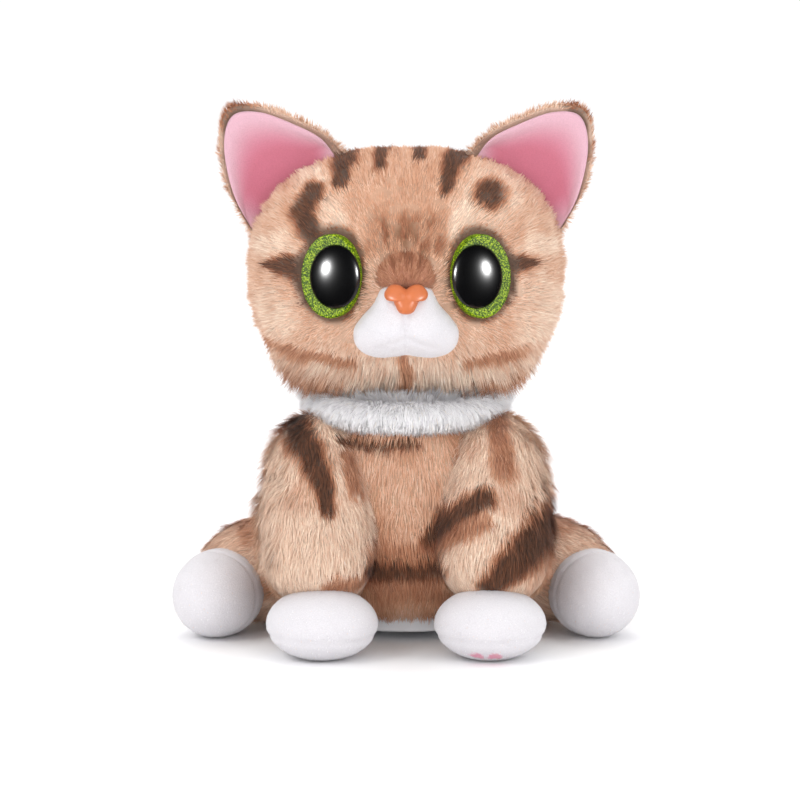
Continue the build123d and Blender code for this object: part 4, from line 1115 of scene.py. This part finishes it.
def crease_depth(x, z, runs, width, depth):
    """Return how deep the creases press into a pad at each place."""
    total = np.zeros(x.shape)
    for start, end in runs:
        distance, _ = from_segment(x, z, start, end)
        total = np.maximum(total, depth * np.exp(-((distance / width) ** 2)))
    return total


MUZZLE_OUTLINE = [
    (0.0, 160.0), (6.5, 161.0), (10.8, 159.0), (14.2, 152.5), (18.8, 147.0), (22.4, 141.0),
    (21.8, 134.0), (17.8, 129.6), (11.5, 127.9), (5.0, 128.4), (0.0, 129.2),
]
MOUTH_LINES = [((-12.0, 134.4), (-1.0, 139.0)), ((1.0, 139.0), (12.5, 134.0)), ((0.0, 139.0), (0.0, 149.0))]


def muzzle_swell(x, z):
    """Return how far the muzzle stands out: two cheeks with a shallow valley between them."""
    cheeks = 3.2 * np.exp(-(((np.abs(x) - 9.5) / 8.0) ** 2)) * np.exp(-(((z - 140.5) / 9.0) ** 2))
    return 14.5 + cheeks - crease_depth(x, z, MOUTH_LINES, 1.5, 0.9)


def build_muzzle():
    """Make the white muzzle pad with its short pile."""
    shell = pillow(MUZZLE_OUTLINE, (0.0, 144.0), head_front_y, muzzle_swell, rings=40)
    pad = add_object("muzzle_soft", *shell, minky_cloth, paint(shell, white_coat, 0.98))
    place(pad, "head", "white_plush", "muzzle_pad")
    fuzz = grow_fur("muzzle_fuzz", "head", "white_plush", shell, 2.6, fuzz_style(0.9, white_coat))
    for piece in (pad, fuzz):
        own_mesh(piece)


NOSE_OUTLINE = [
    (0.0, 160.4), (3.4, 162.2), (6.9, 161.8), (9.3, 158.8), (8.4, 156.4), (5.9, 156.2), (4.6, 153.8),
    (2.9, 151.2), (0.0, 150.4),
]


def build_nose():
    """Make the moulded nose."""
    valley = [((0.0, 158.6), (0.0, 164.0))]
    shell = pillow(
        NOSE_OUTLINE,
        (0.0, 157.4),
        lambda x, z: np.full(x.shape, -65.5) + 0.35 * (z - 156.0),
        lambda x, z: 6.6 - crease_depth(x, z, valley, 1.8, 0.9),
        rings=24,
        edge_power=3.0,
    )
    plastic = mottled_material("nose_moulding", (209, 116, 69), 0.04, 260.0, roughness=0.42, specular=0.3)
    place(add_object("nose_moulded", *shell, plastic), "head", "nose_plastic", "nose")


BRIDGE_OUTLINE = [
    (0.0, 174.6), (6.2, 173.2), (10.8, 168.6), (12.2, 162.5), (8.0, 159.0), (0.0, 158.5),
]


def bridge_coat(points, normals):
    """Return the bridge panel's pinkish brown, with the short dark streaks over it."""
    streaks = soft_noise(points, (1.2, 6.0, 6.0), 14)
    colours = even(BRIDGE_COAT, points) * (0.9 + 0.2 * streaks[:, None])
    return lay(colours, STREAK, smooth_step(0.4, 0.65, streaks) * smooth_step(163, 170, points[:, 2]))


def build_bridge():
    """Make the short-pile panel between the nose and the forehead."""
    shell = pillow(BRIDGE_OUTLINE, (0.0, 165.0), head_front_y, lambda x, z: np.full(x.shape, 5.2))
    panel = add_object("nose_bridge_soft", *shell, pile_cloth, paint(shell, bridge_coat, 0.95))
    place(panel, "head", "tan_plush", "nose_bridge_panel")

    def style(points, normals):
        look = fuzz_style(3.0, bridge_coat)(points, normals)
        look["comb"] = unit(points - np.array((0.0, -60.0, 150.0)))
        look["lean"] = 0.66
        return look

    grow_fur("nose_bridge_fuzz", "head", "tan_plush", shell, 5.0, style)


# ---- paws and feet
def evened(mesh, moves):
    """Return the moves averaged with their neighbours', which takes out the sharpest wrinkles."""
    edges = np.empty(len(mesh.edges) * 2, np.int32)
    mesh.edges.foreach_get("vertices", edges)
    pairs = edges.reshape(-1, 2)
    ends, others = np.concatenate((pairs[:, 0], pairs[:, 1])), np.concatenate((pairs[:, 1], pairs[:, 0]))
    neighbours = np.bincount(ends, minlength=len(moves))[:, None]
    for _ in range(3):
        total = np.zeros_like(moves)
        np.add.at(total, ends, moves[others])
        moves = 0.5 * moves + 0.5 * total / neighbours
    return moves


def blown_up(made, pinned):
    """Fill a cover by cloth simulation: it swells between its pinned seam and base, then stays so."""
    mesh = made.data
    group = made.vertex_groups.new(name="sewn")
    group.add([int(index) for index in np.flatnonzero(pinned)], 1.0, "REPLACE")
    cloth = made.modifiers.new("cloth", "CLOTH")
    settings = {
        "quality": 6,
        "mass": 0.15,
        "tension_stiffness": 20.0,
        "compression_stiffness": 20.0,
        "bending_stiffness": 0.6,
        "use_pressure": True,
        "uniform_pressure_force": 4.0,
        "vertex_group_mass": "sewn",
    }
    for name, value in settings.items():
        setattr(cloth.settings, name, value)
    cloth.settings.effector_weights.gravity = 0.0
    cloth.collision_settings.use_collision = False
    cloth.point_cache.frame_start, cloth.point_cache.frame_end = 1, CLOTH_FRAMES
    before = np.empty(len(mesh.vertices) * 3)
    mesh.vertices.foreach_get("co", before)
    for number in range(1, CLOTH_FRAMES + 1):
        bpy.context.scene.frame_set(number)
    settled = made.evaluated_get(bpy.context.evaluated_depsgraph_get()).to_mesh()
    after = np.empty(len(mesh.vertices) * 3)
    settled.vertices.foreach_get("co", after)
    made.modifiers.remove(cloth)
    move = (after - before).reshape(-1, 3)
    length = np.linalg.norm(move, axis=1, keepdims=True)
    capped = evened(mesh, move * np.minimum(1.0, CLOTH_REACH * MM / np.maximum(length, 1e-9)))
    mesh.vertices.foreach_set("co", (before.reshape(-1, 3) + capped).ravel())
    mesh.update()
    bpy.context.scene.frame_set(1)


def toe_coat(side):
    """Return the colours of a front paw. The kitten's left one shows two pink toe pads."""

    def coat(points, normals):
        colours = white_coat(points, normals)
        if side < 0:
            return colours
        for pad_x, pad_radius in ((30.0, 3.4), (38.0, 3.2)):
            spot = np.hypot((points[:, 0] - pad_x) / pad_radius, (points[:, 2] - 3.2) / 2.4)
            low_front = (points[:, 1] < -74.0).astype(float)
            colours = lay(colours, PALETTE["rose"], low_front * (1 - smooth_step(0.8, 1.1, spot)))
        return colours

    return coat


def build_end(node, side, centre, half, turn, seam, coat):
    """Make one paw or foot: a stuffed white end, drawn in along its seam, with a short pile."""
    middle = mirror_x(centre, side)
    points, triangles = facing_out(star_shell(middle, ellipsoid_reach(half, turn, side), 56, 84))
    along = np.array((side * math.cos(turn), math.sin(turn), 0.0))
    offset = points - middle
    from_seam = np.abs(offset[:, 2] + 4.5) if seam == "sole" else np.abs(offset @ along - 4.0)
    pull = np.exp(-((from_seam / SEAM_WIDTH) ** 2))
    points = points - outward_normals(points, triangles) * (SEAM_DEPTH * pull)[:, None]
    points[:, 2] = np.maximum(points[:, 2], FLOOR_GAP)
    name = f"{node}_soft"
    end = add_object(name, points, triangles, minky_cloth, paint((points, triangles), coat, 0.98))
    blown_up(end, (pull > 0.6) | (points[:, 2] < 1.0))
    place(end, "torso", "white_plush", node)
    grow_fur(f"{name}_fuzz", "torso", "white_plush", arrays_of(end), 2.4, fuzz_style(1.1, coat))


def build_ends():
    """Make the front paws and the hind feet."""
    for side_name, side in SIDES.items():
        paw, foot = f"front_paw_{side_name}", f"hind_foot_{side_name}"
        build_end(paw, side, PAW_CENTRE, PAW_HALF, PAW_TURN, "sole", toe_coat(side))
        build_end(foot, side, FOOT_CENTRE, FOOT_HALF, FOOT_TURN, "cross", white_coat)


# ---- eyes
def glitter_material():
    """Return green plastic filled with fine glitter."""
    material = plain_material("iris_glitter_finish", (126, 186, 44), roughness=0.45, specular=0.08)
    tree = material.node_tree
    flakes = add_pattern(tree, "TexVoronoi", Scale=2300.0)
    single = tree.nodes.new("ShaderNodeSeparateColor")
    join(tree, flakes, "Color", single, "Color")
    stops = ((0.15, (47, 71, 2)), (0.6, (92, 125, 6)), (0.95, (174, 198, 34)))
    add_ramp(tree, single, "Red", [(position, as_linear(colour)) for position, colour in stops])
    return material


def build_pupils():
    """Make the two glossy domes over the pupils."""
    gloss = mottled_material("pupil_gloss", (9, 9, 11), 0.2, 90.0, roughness=0.25, specular=0.5)
    level = math.cos(EYE_LIFT)
    for side_name, side in SIDES.items():
        facing = (side * math.sin(EYE_TURN) * level, -math.cos(EYE_TURN) * level, math.sin(EYE_LIFT))
        normal = np.array(facing)
        low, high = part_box(f"eye_{side_name}_pupil")
        middle = 0.5 * (np.array(low) + np.array(high)) / MM
        across = unit(np.cross(UP, normal))
        upward = np.cross(normal, across)
        share = np.sin(np.linspace(0, math.pi / 2, 40))[::-1]
        turn = np.linspace(0, 2 * math.pi, 96, endpoint=False)
        dome = PUPIL_SIZE[2] * np.sqrt(1 - share**2)
        rings = (
            share[:, None, None] * PUPIL_SIZE[0] * np.cos(turn)[None, :, None] * across
            + share[:, None, None] * PUPIL_SIZE[1] * np.sin(turn)[None, :, None] * upward
            + dome[:, None, None] * normal
        )
        shell = facing_out(shell_from_rings(rings[:-1]))
        centred = 0.5 * (shell[0].min(axis=0) + shell[0].max(axis=0))
        shifted = shell[0] - centred + middle - side * PUPIL_SHIFT * across
        pupil = add_object(f"eye_{side_name}_dome", shifted, shell[1], gloss)
        place(pupil, "head", "pupil_black", f"eye_{side_name}_pupil")


# ---- finishes of the plain CAD pieces
def finish_slots():
    """Give every CAD piece that is still shown a procedural finish for its material slot."""
    finishes = {
        "iris_glitter": glitter_material(),
        "stuffing": mottled_material("fibre_fill", (236, 236, 232), 0.08, 300.0, 0.6, 900.0, sheen=0.4),
        "white_plastic": mottled_material(
            "satin_white_abs", (236, 237, 240), 0.015, 120.0, 0.05, 3000.0, roughness=0.4
        ),
        "grey_plastic": mottled_material("grey_abs", (132, 134, 138), 0.03, 150.0, roughness=0.45),
        "black_plastic": mottled_material("black_abs", (26, 26, 28), 0.1, 150.0, roughness=0.4),
        "rubber": mottled_material("soft_rubber", (52, 52, 54), 0.08, 400.0, 0.1, 2500.0, roughness=0.8),
        "steel": mottled_material("zinc_steel", (186, 188, 192), 0.05, 500.0, roughness=0.3, metallic=1.0),
        "cell_steel": mottled_material(
            "cell_jacket", (150, 152, 158), 0.04, 300.0, roughness=0.28, metallic=0.9
        ),
        "board_green": mottled_material("board_lacquer", (34, 96, 52), 0.12, 500.0, roughness=0.35, coat=0.3),
        "magnet": mottled_material("magnet_zinc", (120, 122, 126), 0.06, 400.0, roughness=0.35, metallic=1.0),
        "paper": mottled_material("cone_paper", (64, 60, 56), 0.1, 600.0, 0.3, 2500.0),
        "wire_red": mottled_material("wire_jacket", (176, 34, 30), 0.05, 300.0, roughness=0.4),
        "label_cloth": mottled_material(
            "label_ribbon", (240, 240, 240), 0.03, 900.0, 0.4, 4000.0, roughness=0.6
        ),
    }
    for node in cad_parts.values():
        for index, material in enumerate(node.data.materials):
            if material and material.name in finishes:
                node.data.materials[index] = finishes[material.name]


def build_label():
    """Make the blank care label, a short ribbon that hangs from the back seam."""
    low, high = (np.array(corner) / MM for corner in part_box("care_label"))
    rows, columns = 26, 14
    width, length = LABEL_SIZE
    drop = np.linspace(0, length, rows)[:, None]
    across = np.linspace(-0.5 * width, 0.5 * width, columns)[None, :]
    sway = 0.9 * np.sin(drop / length * 2.6) + 0.25 * np.sin(across / 4.0)
    grid = np.broadcast_arrays(0.5 * (low[0] + high[0]) + across, high[1] - 0.3 + sway, LABEL_TOP - drop)
    front = np.stack(grid, axis=-1).reshape(-1, 3)
    shell = closed_sheet(front, front + 0.3 * DEEP, grid_triangles(rows, columns), rows, columns)
    ribbon = mottled_material("care_ribbon", (243, 243, 243), 0.02, 900.0, 0.4, 4000.0, roughness=0.6)
    label = place(add_object("care_ribbon", *shell, ribbon), "torso", "label_cloth", "care_label")


# ---- studio
def add_light(name, spot, size, power, gloss_only=False):
    """Add a soft light aimed at the kitten, for highlights alone if gloss_only and without them if not."""
    data = bpy.data.lights.new(name, "AREA")
    data.shape = "DISK"
    data.size = size
    data.energy = power
    light = bpy.data.objects.new(name, data)
    light.location = spot
    light.rotation_euler = (Vector(LIGHT_AIM) - Vector(spot)).to_track_quat("-Z", "Y").to_euler()
    light.visible_diffuse = not gloss_only
    light.visible_glossy = gloss_only
    bpy.context.scene.collection.objects.link(light)


def build_studio():
    """Add a pale floor, soft lights and the camera."""
    floor = add_object(
        "studio_floor",
        np.array(FLOOR_CORNERS),
        np.array([(0, 1, 2, 3)]),
        plain_material("studio_white", (254, 254, 255), roughness=0.9, specular=0.0),
    )
    world = bpy.data.worlds.new("studio")
    world.use_nodes = True
    world.node_tree.nodes["Background"].inputs["Color"].default_value = (1.0, 1.0, 1.0, 1.0)
    world.node_tree.nodes["Background"].inputs["Strength"].default_value = 1.0
    bpy.context.scene.world = world
    world.cycles_visibility.glossy = False
    floor.visible_glossy = False
    add_light("key", (-0.8, -0.9, 1.0), 0.45, 3.4)
    add_light("front", (0.0, -1.6, 0.12), 0.7, 3.4)
    add_light("fill", (1.0, -0.9, 0.7), 0.5, 2.0)
    for side in SIDES.values():
        add_light("glint", (side * 1.0, -0.62, 0.42), 0.26, 34.0, gloss_only=True)
    add_light("top", (0.0, 0.35, 1.3), 0.9, 3.4)
    data = bpy.data.cameras.new("camera")
    data.lens = CAMERA_LENS
    data.sensor_width = CAMERA_SENSOR
    data.clip_end = 50.0
    camera = bpy.data.objects.new("camera", data)
    forward = Vector((0.0, math.cos(VIEW_TILT), -math.sin(VIEW_TILT)))
    camera.location = Vector(CAMERA_AIM) - (CAMERA_LENS / CAMERA_SENSOR * SEEN_WIDTH) * forward
    camera.rotation_euler = forward.to_track_quat("-Z", "Y").to_euler()
    bpy.context.scene.collection.objects.link(camera)
    bpy.context.scene.camera = camera
    bpy.context.scene.view_settings.view_transform = "Standard"


finish_slots()
build_head()
build_body()
for ear_side_name, ear_side in SIDES.items():
    build_ear(ear_side_name, ear_side)
build_muzzle()
build_nose()
build_bridge()
build_ends()
build_pupils()
build_label()
build_studio()
